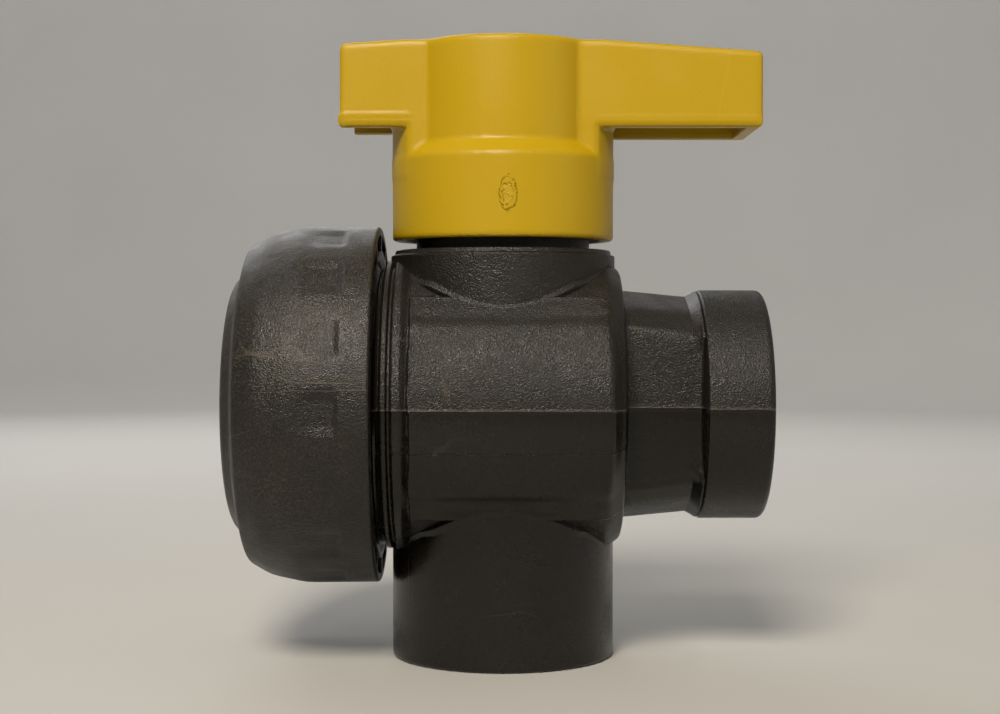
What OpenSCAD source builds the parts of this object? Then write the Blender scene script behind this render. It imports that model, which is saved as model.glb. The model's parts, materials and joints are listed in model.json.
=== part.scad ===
// Three-way ball valve with a bottom port, an L-bored ball and one union end.
// Millimetres. The origin is the centre of the bottom port's end face, +Z runs up the
// stem and +X runs along the main pipe towards the fixed female socket.
// Heights in the modules are measured from the main pipe's axis, and rod_z() and
// on_stem() lift them to the frame. Screw threads are plain cylinders.

/* [Body] */
// Height of the main pipe's axis above the bottom port's end face
axis_height = 51; // [49:0.5:56]
// Diameter of the barrel that holds the ball
barrel_d = 60.2; // [59.6:0.1:62]
// Height of the raised pads on the barrel's front and back
pad_rise = 0.6; // [0.3:0.1:1]
// Diameter of the fixed female socket
socket_d = 46.5; // [46:0.1:48]
// Distance from the stem axis to the socket's end face
socket_reach = 52.4; // [50:0.1:56]
// Diameter of the bottom port's pipe
bottom_pipe_d = 45; // [44:0.1:47]
// Diameter of the tower that carries the stem
tower_d = 45.5; // [44:0.1:47]
// Height of the tower's top above the main pipe's axis
tower_top = 31.2; // [31:0.1:32]
// Diameter of the collar between the tower and the handle
collar_d = 35.2; // [34:0.1:36]

/* [Ports] */
// Bore diameter inside the pipe threads
port_minor_d = 30.3; // [29:0.1:30.6]
// Length of the pipe thread in the body's two ports
port_thread_length = 17; // [14:0.5:17.5]
// Diameter of the flow passage and of the ball's bore
passage_d = 22; // [18:0.5:22]

/* [Ball and seats] */
// Diameter of the ball
ball_d = 42; // [41.6:0.1:42.2]
// Clearance between the ball and its seats
seat_clearance = 0.05; // [0.02:0.01:0.1]
// Radius of the cross-section of the rings behind the seats
seat_ring_wire_r = 1.25; // [1:0.05:1.25]

/* [Stem] */
// Diameter of the stem's journal
stem_d = 15.1; // [14.6:0.1:15.1]
// Radial running clearance of the stem
stem_clearance = 0.05; // [0.02:0.01:0.1]
// Width across the flats of the square that drives the handle
drive_width = 11; // [10:0.1:11]

/* [Union end] */
// Outer diameter of the union nut
nut_d = 72.4; // [71.6:0.1:74]
// Number of grip scallops, and of cored pockets, round the nut
nut_scallops = 16; // [12:1:20]
// Depth of one grip scallop
scallop_depth = 0.6; // [0.3:0.1:0.9]
// Mean diameter of the union thread on the body
union_thread_d = 56.2; // [55.6:0.1:56.8]
// Length of the pipe thread in the end connector
connector_thread_length = 15; // [12:0.5:15]

/* [Handle] */
// Diameter of the skirt that covers the collar
skirt_d = 45; // [44:0.1:46]
// Diameter of the central boss
boss_d = 39; // [38:0.1:40]
// Width of the two arms
arm_width = 25.4; // [22:0.1:26]
// Reach of the long arm, which points to the open port
long_arm = 51.3; // [44:0.1:60]
// Reach of the short arm
short_arm = 32.2; // [29:0.1:36]
// Height of the handle's top above the main pipe's axis
handle_top = 72.6; // [72:0.1:76]
// Angle that the handle turns between its two stops
handle_sweep = 180; // [90:10:180]

/* [Hidden] */
$fn = 96;
eps = 0.02;

// Body stations along the main pipe, from the union end to the socket.
body_left = -36;
thread_right = -23.3;
collar_ring = [-23.3, -22.1];
barrel_left = -21.4;
shoulder_left = 20.5;
barrel_right = 23.6;
neck_left = 25;
socket_left = 39.4;
pad_half_angle = 31;
pad_left = -18;
pad_right = 21.7;

// Body radii.
barrel_r = barrel_d / 2;
shoulder_r = 26.6;
thread_r = union_thread_d / 2;
collar_ring_r = thread_r + 1;
socket_r = socket_d / 2;
socket_edge = 1.2;
tower_step = 0.8;
parting_groove = 0.7;

// The ball's cavity and its seats.
ball_r = ball_d / 2;
passage_r = passage_d / 2;
cavity_r = ball_r + 1;
seat_in_r = passage_r + 0.5;
seat_out_r = 16.5;
seat_pocket_r = seat_out_r + 0.1;
seat_front = 15;
seat_shoulder = 17.2;
seat_back = 19;
seat_skirt_r = 13.6;
seat_end = 21.55;
seat_pocket_end = 21.65;
seat_ring_r = (seat_skirt_r + seat_pocket_r) / 2;
seat_ring_x = (seat_back + seat_pocket_end) / 2;

// The threaded carrier that closes the cavity at the union end.
carrier_thread_r = 24.4;
carrier_bore_r = carrier_thread_r + 0.2;
carrier_nose = -17.4;
carrier_step = -22.5;
carrier_nose_r = cavity_r - 0.1;
carrier_groove = [-21.1, -18.9];
carrier_groove_r = carrier_nose_r - 1.9;
carrier_ring_wire_r = 0.95;
carrier_hex_r = 14.5;
carrier_hex_depth = 6;

// The stem and its seals.
stem_r = stem_d / 2;
stem_bore_r = stem_r + stem_clearance;
stem_flange_r = 10;
stem_flange_z = [ball_r + 0.4, ball_r + 2.6];
stem_pocket_r = stem_flange_r + 0.3;
stem_pocket_top = stem_flange_z[1] + 1.05;
stem_ring_wire_r = 1;
stem_groove_w = 2.2;
stem_groove_r = stem_r - 2.05;
stem_ring_heights = [28, 32];
stem_journal_top = 36.2;
stem_top = 65.5;
tang_width = 7;
tang_length = 16;
tang_bottom = 16.3;
slot_play = 0.1;

// The collar, its stop and the handle's lug that meets it.
collar_top = 36;
stop_top = 41;
stop_r = [13.5, collar_d / 2];
lug_half_angle = 20;
stop_gap_angle = 1.1;
stop_half_angle = (360 - handle_sweep) / 2 - lug_half_angle - stop_gap_angle;
stop_centre_angle = 270 + (handle_sweep - 180) / 2;

// The union end.
connector_left = -53.8;
connector_tube_r = 23.3;
connector_flange = [-40, body_left - 0.1];
connector_flange_r = 27.4;
face_ring_r = 21;
face_ring_wire_r = 0.95;
nut_r = nut_d / 2;
nut_right = -24.8;
nut_crown = -39.6;
nut_left = -54.1;
nut_thread_end = -37;
nut_shoulder = connector_flange[0] - 0.1;
nut_thread_r = thread_r + 1.1;
nut_flange_r = connector_flange_r + 0.4;
nut_lip_r = connector_tube_r + 0.3;
nut_pocket_r = [31.3, nut_r - 1.7];
nut_pocket_end = -37;
nut_rib = 1.6;
scallop_x = [-40.5, -30.5];
scallop_tool_r = 40;

// The handle.
skirt_r = skirt_d / 2;
boss_r = boss_d / 2;
arm_half = arm_width / 2;
skirt_bottom = 33.2;
skirt_bore_r = skirt_r - 3;
ledge_outer = 49.5;
ledge_inner = 52.4;
ledge_under = 46.5;
arm_bottom = 55.2;
arm_wall = 3;
arm_roof = 67;
long_arm_top = handle_top - 2.3;
short_arm_top = handle_top - 0.8;
end_lift = 3.1;
tab_x = [-31.2, -23.3];
tab_lift = 1.1;
arm_corner = 1.8;
hub_r = 10.2;
hub_bottom = 36.6;
hub_shelf = 66;
boss_bore_r = boss_r - 3.2;
boss_roof = handle_top - 3.4;
screw_pocket_r = 7.6;
washer_t = 1.2;
screw_r = 3;
screw_length = 14;
rib_t = 2.2;

// Places children, drawn along +Z from the main axis, along +X.
module along_x() {
    translate([0, 0, axis_height]) rotate([0, 90, 0]) children();
}

// Places children, drawn with heights from the main axis, on the stem's axis.
module on_stem() {
    translate([0, 0, axis_height]) children();
}

// A round rod about the main pipe's axis, from x0 to x1.
module rod_x(r, x0, x1) {
    translate([x0, 0, axis_height]) rotate([0, 90, 0]) cylinder(r = r, h = x1 - x0);
}

// A round rod about the stem's axis, between two heights above the main axis.
module rod_z(r, z0, z1) {
    translate([0, 0, axis_height + z0]) cylinder(r = r, h = z1 - z0);
}

// A ring of round cross-section about +Z, at height z.
module o_ring(ring_r, wire_r, z) {
    translate([0, 0, z]) rotate_extrude() translate([ring_r, 0]) circle(r = wire_r, $fn = 32);
}

// A sector of a tube about the stem's axis, centred on angle and half_angle wide each way.
module sector(radii, z, angle, half_angle) {
    rotate([0, 0, angle - half_angle])
        translate([0, 0, axis_height + z[0]])
            rotate_extrude(angle = 2 * half_angle)
                translate([radii[0], 0]) square([radii[1] - radii[0], z[1] - z[0]]);
}

// The lathe-turned outside of the run: union thread, rings, barrel and shoulder.
module run_outside() {
    along_x() rotate_extrude() polygon([
        [0, body_left], [thread_r, body_left], [thread_r, thread_right],
        [collar_ring_r, collar_ring[0]], [collar_ring_r, collar_ring[1]],
        [collar_ring_r - parting_groove, collar_ring[1]],
        [collar_ring_r - parting_groove, barrel_left], [barrel_r, barrel_left],
        [barrel_r, shoulder_left],
        for (a = [15 : 15 : 75])
            [shoulder_r + (barrel_r - shoulder_r) * cos(a),
             shoulder_left + (barrel_right - shoulder_left) * sin(a)],
        [shoulder_r, barrel_right], [0, barrel_right]
    ]);
}

// The raised pads on the barrel's front and back.
module pads() {
    pad_half = barrel_r * sin(pad_half_angle);
    intersection() {
        rod_x(barrel_r + pad_rise, pad_left, pad_right);
        translate([pad_left - 1, -nut_r, axis_height - pad_half])
            cube([pad_right - pad_left + 2, 2 * nut_r, 2 * pad_half]);
    }
}

// The flat-sided neck that takes a wrench, between the barrel and the socket.
module neck() {
    flat_y = 16.6;
    flat_z = 15.6;
    facet = [13.5, 18.4];
    ridge_z = 22.6;
    translate([barrel_right - eps, 0, axis_height]) rotate([90, 0, 90])
        linear_extrude(socket_left - barrel_right + 2 * eps)
            polygon([
                [flat_y, -flat_z], [flat_y, flat_z], facet, [0, ridge_z],
                [-facet[0], facet[1]], [-flat_y, flat_z], [-flat_y, -flat_z],
                [-facet[0], -facet[1]], [0, -ridge_z], [facet[0], -facet[1]]
            ]);
}

// The fixed female socket.
module socket() {
    along_x() rotate_extrude() polygon([
        [0, socket_left], [socket_r, socket_left],
        [socket_r, socket_reach - socket_edge],
        [socket_r - socket_edge * (1 - cos(45)), socket_reach - socket_edge * (1 - sin(45))],
        [socket_r - socket_edge, socket_reach], [0, socket_reach]
    ]);
}

// Everything that is cut out of the body: cavity, pockets, passages, ports and stem bore.
module body_hollows() {
    on_stem() sphere(r = cavity_r);
    rod_x(cavity_r, carrier_step - eps, 0);
    rod_x(carrier_bore_r, body_left - 1, carrier_step);
    rod_x(seat_pocket_r, 0, seat_pocket_end);
    rod_x(passage_r, 0, socket_reach - 1);
    rod_x(port_minor_d / 2, socket_reach - port_thread_length, socket_reach + 1);
    rod_z(seat_pocket_r, -seat_pocket_end, 0);
    rod_z(passage_r, -axis_height + 1, 0);
    rod_z(port_minor_d / 2, -axis_height - 1, -axis_height + port_thread_length);
    rod_z(stem_pocket_r, 0, stem_pocket_top);
    rod_z(stem_bore_r, 0, stop_top + 1);
}

module valve_body() {
    color([0.13, 0.13, 0.12]) difference() {
        union() {
            run_outside();
            pads();
            neck();
            socket();
            rod_z(tower_d / 2, 0, tower_top - tower_step);
            rod_z(tower_d / 2 - tower_step, tower_top - tower_step - eps, tower_top);
            rod_z(bottom_pipe_d / 2, -axis_height, 0);
            rod_z(collar_d / 2, tower_top - eps, collar_top);
            sector(stop_r, [collar_top - eps, stop_top], stop_centre_angle, stop_half_angle);
        }
        body_hollows();
    }
}

// The ball: an L-shaped bore joins the bottom port to one side port, and a slot takes the
// stem's tang.
module ball() {
    color([0.2, 0.2, 0.19]) difference() {
        on_stem() sphere(r = ball_r);
        on_stem() sphere(r = passage_r);
        rod_x(passage_r, 0, ball_r + 1);
        rod_z(passage_r, -ball_r - 1, 0);
        translate([-ball_r, -tang_width / 2 - slot_play, axis_height + tang_bottom - slot_play])
            cube([2 * ball_r, tang_width + 2 * slot_play, ball_r]);
    }
}

// One seat, drawn about +Z with the ball's centre at the origin.
module seat() {
    color([0.93, 0.93, 0.9]) difference() {
        rotate_extrude() polygon([
            [seat_in_r, seat_front], [seat_out_r - 2.1, seat_front],
            [seat_out_r, seat_shoulder], [seat_out_r, seat_back],
            [seat_skirt_r, seat_back], [seat_skirt_r, seat_end], [seat_in_r, seat_end]
        ]);
        sphere(r = ball_r + seat_clearance);
    }
}

// The rubber ring that springs one seat against the ball.
module seat_ring() {
    color([0.08, 0.08, 0.08]) o_ring(seat_ring_r, seat_ring_wire_r, seat_ring_x);
}

module seat_right() { along_x() seat(); }
module seat_left() { along_x() mirror([0, 0, 1]) seat(); }
module seat_bottom() { on_stem() mirror([0, 0, 1]) seat(); }
module seat_ring_right() { along_x() seat_ring(); }
module seat_ring_left() { along_x() mirror([0, 0, 1]) seat_ring(); }
module seat_ring_bottom() { on_stem() mirror([0, 0, 1]) seat_ring(); }

// The threaded ring that holds the left seat, turned in with a hexagon key.
module seat_carrier() {
    color([0.16, 0.16, 0.15]) difference() {
        union() {
            rod_x(carrier_thread_r, body_left, carrier_step - 0.1);
            rod_x(carrier_nose_r, carrier_step - 0.2, carrier_nose);
        }
        rod_x(passage_r, body_left - 1, carrier_nose + 1);
        rod_x(seat_pocket_r, -seat_pocket_end, carrier_nose + 1);
        difference() {
            rod_x(carrier_nose_r + 1, carrier_groove[0], carrier_groove[1]);
            rod_x(carrier_groove_r, carrier_groove[0] - 1, carrier_groove[1] + 1);
        }
        translate([body_left - eps, 0, axis_height]) rotate([0, 90, 0])
            cylinder(r = carrier_hex_r, h = carrier_hex_depth, $fn = 6);
    }
}

module carrier_ring() {
    color([0.08, 0.08, 0.08]) along_x()
        o_ring(carrier_groove_r + 1, carrier_ring_wire_r, (carrier_groove[0] + carrier_groove[1]) / 2);
}

module thrust_washer() {
    color([0.93, 0.93, 0.9]) difference() {
        rod_z(stem_flange_r - 0.1, stem_flange_z[1], stem_flange_z[1] + 1);
        rod_z(stem_r + 0.15, stem_flange_z[1] - 1, stem_flange_z[1] + 2);
    }
}

// The square that drives the handle, with its corners turned off, grown by play.
module drive_square(z0, z1, play) {
    side = drive_width + 2 * play;
    intersection() {
        rod_z(stem_r - 0.05 + play, z0, z1);
        translate([-side / 2, -side / 2, axis_height + z0]) cube([side, side, z1 - z0]);
    }
}

module stem() {
    color([0.72, 0.73, 0.74]) difference() {
        union() {
            rod_z(stem_r, stem_flange_z[1] - eps, stem_journal_top);
            rod_z(stem_flange_r, stem_flange_z[0], stem_flange_z[1]);
            drive_square(stem_journal_top - eps, stem_top, 0);
            intersection() {
                rod_z(stem_flange_r, tang_bottom, stem_flange_z[0] + eps);
                translate([-tang_length / 2, -tang_width / 2, axis_height + tang_bottom])
                    cube([tang_length, tang_width, ball_r]);
            }
        }
        for (z = stem_ring_heights) difference() {
            rod_z(stem_r + 1, z - stem_groove_w / 2, z + stem_groove_w / 2);
            rod_z(stem_groove_r, z - stem_groove_w, z + stem_groove_w);
        }
        rod_z(screw_r, stem_top - screw_length, stem_top + 1);
    }
}

// The stem ring in groove number i, counted from the bottom.
module stem_ring(i) {
    color([0.08, 0.08, 0.08]) on_stem()
        o_ring(stem_groove_r + stem_ring_wire_r + 0.02, stem_ring_wire_r, stem_ring_heights[i]);
}

module stem_ring_lower() { stem_ring(0); }
module stem_ring_upper() { stem_ring(1); }

// The union's tailpiece: a flange that the nut pulls onto the body, and a female thread.
module end_connector() {
    ring_depth = 2 * face_ring_wire_r + 0.1;
    color([0.15, 0.15, 0.14]) difference() {
        union() {
            rod_x(connector_flange_r, connector_flange[0], connector_flange[1]);
            rod_x(connector_tube_r, connector_left, connector_flange[0] + eps);
        }
        rod_x(passage_r, connector_left - 1, body_left);
        rod_x(port_minor_d / 2, connector_left - 1, connector_left + connector_thread_length);
        difference() {
            rod_x(face_ring_r + 1.1, connector_flange[1] - ring_depth, body_left + 1);
            rod_x(face_ring_r - 1.1, connector_left, body_left + 2);
        }
    }
}

module face_ring() {
    color([0.08, 0.08, 0.08]) along_x()
        o_ring(face_ring_r, face_ring_wire_r, connector_flange[1] - face_ring_wire_r - 0.05);
}

// The nut's turned outside: a straight grip band, a crown and a conical end face.
module nut_outside() {
    along_x() rotate_extrude() polygon([
        [0, nut_right], [nut_r - 0.4, nut_right], [nut_r, nut_right - 0.4], [nut_r, nut_crown],
        [nut_r - 0.3, nut_crown - 2], [nut_r - 0.9, nut_crown - 4], [nut_r - 1.6, nut_crown - 6.1],
        [nut_r - 2.6, nut_crown - 9.2], [nut_r - 3.9, nut_crown - 11.1],
        [nut_lip_r + 3.3, nut_crown - 12.5], [nut_lip_r + 1.6, nut_left + 0.5],
        [nut_lip_r + 0.6, nut_left], [0, nut_left]
    ]);
}

// The ring of cored pockets in the nut's open face, parted by radial ribs.
module nut_pockets() {
    difference() {
        rod_x(nut_pocket_r[1], nut_pocket_end, nut_right + 1);
        rod_x(nut_pocket_r[0], nut_pocket_end - 1, nut_right + 2);
        translate([0, 0, axis_height])
            for (i = [0 : nut_scallops - 1]) rotate([(i + 0.5) * 360 / nut_scallops, 0, 0])
                translate([nut_pocket_end - 1, -nut_r - 1, -nut_rib / 2])
                    cube([nut_right - nut_pocket_end + 3, nut_r + 1, nut_rib]);
    }
}

// The shallow grip scallops, of which one faces straight forwards.
module nut_grips() {
    translate([scallop_x[0], 0, axis_height])
        for (i = [0 : nut_scallops - 1]) rotate([i * 360 / nut_scallops, 0, 0])
            translate([0, -(nut_r - scallop_depth + scallop_tool_r), 0]) rotate([0, 90, 0])
                cylinder(r = scallop_tool_r, h = scallop_x[1] - scallop_x[0]);
}

module union_nut() {
    color([0.17, 0.17, 0.16]) difference() {
        nut_outside();
        rod_x(nut_thread_r, nut_thread_end, nut_right + 1);
        rod_x(nut_flange_r, nut_shoulder, nut_thread_end + eps);
        rod_x(nut_lip_r, nut_left - 1, nut_shoulder + eps);
        nut_pockets();
        nut_grips();
    }
}

// The handle's side outline: two arms that fall away slightly from the flat crown.
module arm_outline() {
    polygon([
        [-short_arm, arm_bottom], [-short_arm, short_arm_top - arm_corner],
        [-short_arm + arm_corner, short_arm_top],
        [-boss_r, handle_top - 0.1], [boss_r, handle_top - 0.1],
        [long_arm - arm_corner, long_arm_top], [long_arm - 0.5, long_arm_top - 0.5],
        [long_arm, long_arm_top - arm_corner],
        [long_arm, arm_bottom + arm_corner], [long_arm - arm_corner, arm_bottom]
    ]);
}

// The hollow under one arm, from the boss to the arm's end wall, at x0 to x1.
module arm_hollow(x0, x1) {
    translate([x0, -arm_half + arm_wall, axis_height + skirt_bottom])
        cube([x1 - x0, arm_width - 2 * arm_wall, arm_roof - skirt_bottom]);
}

// What the short arm's back wall and end wall are cut back by, but for a tab.
module short_arm_notch() {
    difference() {
        translate([-short_arm - 1, -arm_half + arm_wall, axis_height + arm_bottom - 1])
            cube([short_arm + 1 - skirt_r - 0.2, arm_width - arm_wall + 1, end_lift + 1]);
        translate([tab_x[0], arm_half - arm_wall, axis_height + arm_bottom + tab_lift])
            cube([tab_x[1] - tab_x[0], arm_wall + 2, end_lift]);
    }
}

// The square hub on the stem, its ribs and the lug that meets the body's stop.
module handle_core() {
    rod_z(hub_r, hub_bottom, boss_roof + eps);
    for (a = [45 : 90 : 315]) rotate([0, 0, a])
        translate([0, -rib_t / 2, axis_height + ledge_inner])
            cube([boss_bore_r + 1, rib_t, boss_roof - ledge_inner + eps]);
    sector([stop_r[0] - 0.5, skirt_bore_r + 1], [hub_bottom, ledge_under + eps], 0, lug_half_angle);
}

module handle() {
    color([0.8, 0.62, 0.08]) difference() {
        union() {
            difference() {
                union() {
                    on_stem() rotate_extrude() polygon([
                        [0, skirt_bottom], [skirt_r - 0.5, skirt_bottom], [skirt_r, skirt_bottom + 0.5],
                        [skirt_r, ledge_outer], [boss_r, ledge_inner],
                        [boss_r, handle_top - 0.5], [boss_r - 0.5, handle_top], [0, handle_top]
                    ]);
                    intersection() {
                        rod_z(skirt_r, ledge_outer - eps, arm_bottom + arm_wall);
                        translate([-skirt_r, -arm_half, axis_height])
                            cube([2 * skirt_r, arm_width, handle_top]);
                    }
                    translate([0, arm_half, axis_height]) rotate([90, 0, 0])
                        linear_extrude(arm_width) arm_outline();
                }
                rod_z(skirt_bore_r, skirt_bottom - 1, ledge_under);
                rod_z(boss_bore_r, skirt_bottom, boss_roof);
                arm_hollow(skirt_r, long_arm - arm_wall);
                arm_hollow(-short_arm + arm_wall, -skirt_r);
                short_arm_notch();
            }
            handle_core();
        }
        drive_square(skirt_bottom, hub_shelf + eps, 0.1);
        rod_z(screw_pocket_r, hub_shelf, handle_top + 1);
    }
}

module handle_washer() {
    color([0.75, 0.76, 0.77]) difference() {
        rod_z(screw_pocket_r - 0.4, hub_shelf, hub_shelf + washer_t);
        rod_z(screw_r + 0.2, hub_shelf - 1, hub_shelf + washer_t + 1);
    }
}

// A pan-head screw with a hexagon socket, into the top of the stem.
module handle_screw() {
    head_r = 5.5;
    head_h = 3.6;
    seat_z = hub_shelf + washer_t;
    color([0.78, 0.79, 0.8]) difference() {
        union() {
            rod_z(screw_r - 0.05, stem_top - screw_length + 1, seat_z + eps);
            rod_z(head_r, seat_z, seat_z + head_h - 0.8);
            rod_z(head_r - 0.8, seat_z, seat_z + head_h);
        }
        translate([0, 0, axis_height + seat_z + 1.4]) cylinder(r = 2.3, h = head_h, $fn = 6);
    }
}

valve_body();
ball();
seat_right();
seat_left();
seat_bottom();
seat_ring_right();
seat_ring_left();
seat_ring_bottom();
seat_carrier();
carrier_ring();
thrust_washer();
stem();
stem_ring_lower();
stem_ring_upper();
end_connector();
face_ring();
union_nut();
handle();
handle_washer();
handle_screw();
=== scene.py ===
"""Surfaces and finishes of a three-way plastic ball valve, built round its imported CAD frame.

Sizes in the classes are millimetres, with heights counted from the main pipe's axis; they
become metres in the row frame when a surface is finished. An angle round the main pipe is 0 at
the front (-Y) and grows upwards, and an angle round the stem is 0 at the front too and grows
towards +X.
"""

from __future__ import annotations

import json
import logging
import math
from dataclasses import dataclass, field
from enum import Enum
from typing import Callable, ClassVar, Iterable, Optional, Sequence

import bpy
import numpy as np
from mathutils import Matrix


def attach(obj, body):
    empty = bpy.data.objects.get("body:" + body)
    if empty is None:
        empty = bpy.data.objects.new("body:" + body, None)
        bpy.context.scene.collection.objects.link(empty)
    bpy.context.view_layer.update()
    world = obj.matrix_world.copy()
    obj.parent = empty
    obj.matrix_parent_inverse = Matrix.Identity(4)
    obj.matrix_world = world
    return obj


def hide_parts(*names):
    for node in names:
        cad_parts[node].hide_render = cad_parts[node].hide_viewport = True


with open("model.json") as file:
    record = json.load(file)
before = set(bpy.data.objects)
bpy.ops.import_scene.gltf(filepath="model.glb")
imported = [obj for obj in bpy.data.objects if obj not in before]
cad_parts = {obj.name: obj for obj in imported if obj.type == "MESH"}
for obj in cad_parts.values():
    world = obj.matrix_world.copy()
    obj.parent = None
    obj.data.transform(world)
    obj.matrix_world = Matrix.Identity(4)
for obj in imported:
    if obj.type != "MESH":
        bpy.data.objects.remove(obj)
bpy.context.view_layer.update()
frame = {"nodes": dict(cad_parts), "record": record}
LOG = logging.getLogger("valve")
MM = 0.001
AXIS_Z = next(m["pos_m"][2] for m in frame["record"]["mounts"] if m["name"] == "side_port") / MM
Array = np.ndarray


class Axis(Enum):
    """The two lines that the valve's round parts turn about."""

    RUN = "run"
    STEM = "stem"


class Join(Enum):
    """How a second solid changes the first."""

    ADD = "UNION"
    CUT = "DIFFERENCE"


# Curves and rings


def ramp(value: Array, start: float, end: float) -> Array:
    """A smooth step: 0 before start, 1 after end, and 3t^2 - 2t^3 between them.

    Args:
        value: Where the step is read.
        start: Where it leaves 0. It may lie after end, which turns the step round.
        end: Where it reaches 1.

    Returns:
        The step's height at each value.
    """
    t = np.clip((value - start) / (end - start), 0.0, 1.0)
    return t * t * (3.0 - 2.0 * t)


def bump(value: Array, centre: float, width: float) -> Array:
    """A bell of height 1: e to the minus square of the distance from centre over width."""
    return np.exp(-(((value - centre) / width) ** 2))


def rounded(corners: Sequence[tuple[float, float, float]], turn: float = 18.0) -> Array:
    """An open line whose corners are arcs.

    Each corner is cut back along both sides by radius times tan of half its turn, and the arc
    between the two cuts is stepped evenly in angle.

    Args:
        corners: Along, across and corner radius of each corner. End points take radius 0.
        turn: Most degrees that one step of an arc turns.

    Returns:
        The line's points, shape (n, 2).
    """
    spots = np.array([c[:2] for c in corners], dtype=float)
    pieces = [spots[:1]]
    for before, here, after, corner in zip(spots, spots[1:], spots[2:], corners[1:-1]):
        into, out = here - before, after - here
        into, out = into / np.hypot(*into), out / np.hypot(*out)
        swing = math.atan2(into[0] * out[1] - into[1] * out[0], into @ out)
        if corner[2] <= 0.0 or abs(swing) < 1e-4:
            pieces.append(here[None])
            continue
        back = corner[2] * math.tan(abs(swing) / 2.0)
        side = math.copysign(1.0, swing)
        centre = here - into * back + side * corner[2] * np.array([-into[1], into[0]])
        steps = max(2, math.ceil(math.degrees(abs(swing)) / turn))
        angles = np.linspace(0.0, swing, steps + 1)
        arm = here - into * back - centre
        turned = np.stack(
            [
                arm[0] * np.cos(angles) - arm[1] * np.sin(angles),
                arm[0] * np.sin(angles) + arm[1] * np.cos(angles),
            ],
            axis=1,
        )
        pieces.append(centre + turned)
    pieces.append(spots[-1:])
    return np.concatenate(pieces)


def divided(line: Array, longest: float, fine: Sequence[tuple[float, float, float]] = ()) -> Array:
    """The same line with extra points.

    Args:
        line: Points along and across, shape (n, 2).
        longest: Longest step that is left.
        fine: Stretches along, each as start, end and the longest step left in it.

    Returns:
        The points, with every step in a piece of equal length.
    """
    spans = np.hypot(*np.diff(line, axis=0).T)
    middle = (line[1:, 0] + line[:-1, 0]) / 2.0
    limit = np.full(len(spans), longest)
    for start, end, step in fine:
        limit = np.where((middle > start) & (middle < end), step, limit)
    lengths = np.concatenate([[0.0], np.cumsum(spans)])
    counts = np.maximum(1, np.ceil(spans / limit)).astype(int)
    stations = np.concatenate(
        [np.linspace(a, b, n, endpoint=False) for a, b, n in zip(lengths, lengths[1:], counts)]
        + [lengths[-1:]]
    )
    return np.stack([np.interp(stations, lengths, line[:, k]) for k in (0, 1)], axis=1)


def full_turn(count: int, fine_at: Iterable[float] = (), fine_steps: Iterable[float] = ()) -> Array:
    """Angles round a full turn, in degrees, with extra ones beside chosen angles.

    Args:
        count: Number of evenly spaced angles.
        fine_at: Angles that need a finer spacing.
        fine_steps: Offsets, each way, of the extra angles.

    Returns:
        The sorted angles, from 0 up to but not including 360.
    """
    even = np.arange(count) * 360.0 / count
    steps = np.array(list(fine_steps))
    near = [spot + side * steps for spot in fine_at for side in (-1.0, 1.0)]
    angles = np.concatenate([even, np.array(list(fine_at)), *near]) % 360.0
    return np.unique(np.round(angles, 4) % 360.0)


def place(axis: Axis, along: Array, radius: Array, angle: Array) -> Array:
    """Points of a turned surface in the row frame, in metres.

    Round the run a point is (along, -radius cos angle, radius sin angle), and round the stem it
    is (radius sin angle, -radius cos angle, along), both from the crossing of the two axes.

    Args:
        axis: The line that the surface turns about.
        along: Distance along that line, in mm.
        radius: Distance from it, in mm.
        angle: Angle round it, in degrees.

    Returns:
        The points, with the shape that the arguments broadcast to and a last axis of 3.
    """
    turn = np.radians(angle)
    along, radius, turn = np.broadcast_arrays(along, radius, turn)
    if axis is Axis.RUN:
        spots = [along, -radius * np.cos(turn), AXIS_Z + radius * np.sin(turn)]
    else:
        spots = [radius * np.sin(turn), -radius * np.cos(turn), AXIS_Z + along]
    return np.stack(spots, axis=-1) * MM


def thread(along: Array, angle: Array, pitch: float) -> Array:
    """Height, 0 to 1, of a right-handed thread's ridge round the run.

    The ridge's crest lies where along over pitch, less the turned share of a revolution, is
    whole. It is a trapezoid with softened corners.

    Args:
        along: Distance along the run, in mm.
        angle: Angle round the run, in degrees.
        pitch: Distance from one ridge to the next, in mm.

    Returns:
        The ridge's height at each point.
    """
    phase = along / pitch - angle / 360.0
    away = np.abs(phase - np.round(phase))
    return ramp(away, 0.34, 0.14)


# Surfaces


@dataclass
class Surface:
    """A closed surface: its points in metres, and the quads and triangles between them."""

    points: Array
    quads: Array
    triangles: Array = field(default_factory=lambda: np.zeros((0, 3), int))

    def volume(self) -> float:
        """The enclosed volume, which is negative where the faces point inwards.

        Returns:
            The volume, in cubic metres.
        """
        tris = np.concatenate([self.quads[:, :3], self.quads[:, [0, 2, 3]], self.triangles])
        a, b, c = (self.points[tris[:, k]] for k in range(3))
        return float(np.einsum("ij,ij->", a, np.cross(b, c)) / 6.0)

    def outward(self) -> Surface:
        """The same surface with its faces pointing outwards.

        Returns:
            Itself, or a copy with every face turned over.
        """
        if self.volume() >= 0.0:
            return self
        return Surface(self.points, self.quads[:, ::-1], self.triangles[:, ::-1])

    def mesh(self, name: str) -> bpy.types.Mesh:
        """The surface as a Blender mesh.

        Args:
            name: The mesh's name.

        Returns:
            The mesh, checked for bad faces.
        """
        made = bpy.data.meshes.new(name)
        corners = np.concatenate([self.quads.ravel(), self.triangles.ravel()]).astype(np.int32)
        sizes = np.repeat([4, 3], [len(self.quads), len(self.triangles)])
        starts = (np.cumsum(sizes) - sizes).astype(np.int32)
        made.vertices.add(len(self.points))
        made.vertices.foreach_set("co", self.points.astype(np.float32).ravel())
        made.loops.add(len(corners))
        made.loops.foreach_set("vertex_index", corners)
        made.polygons.add(len(sizes))
        made.polygons.foreach_set("loop_start", starts)
        made.update(calc_edges=True)
        made.validate()
        return made


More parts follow.
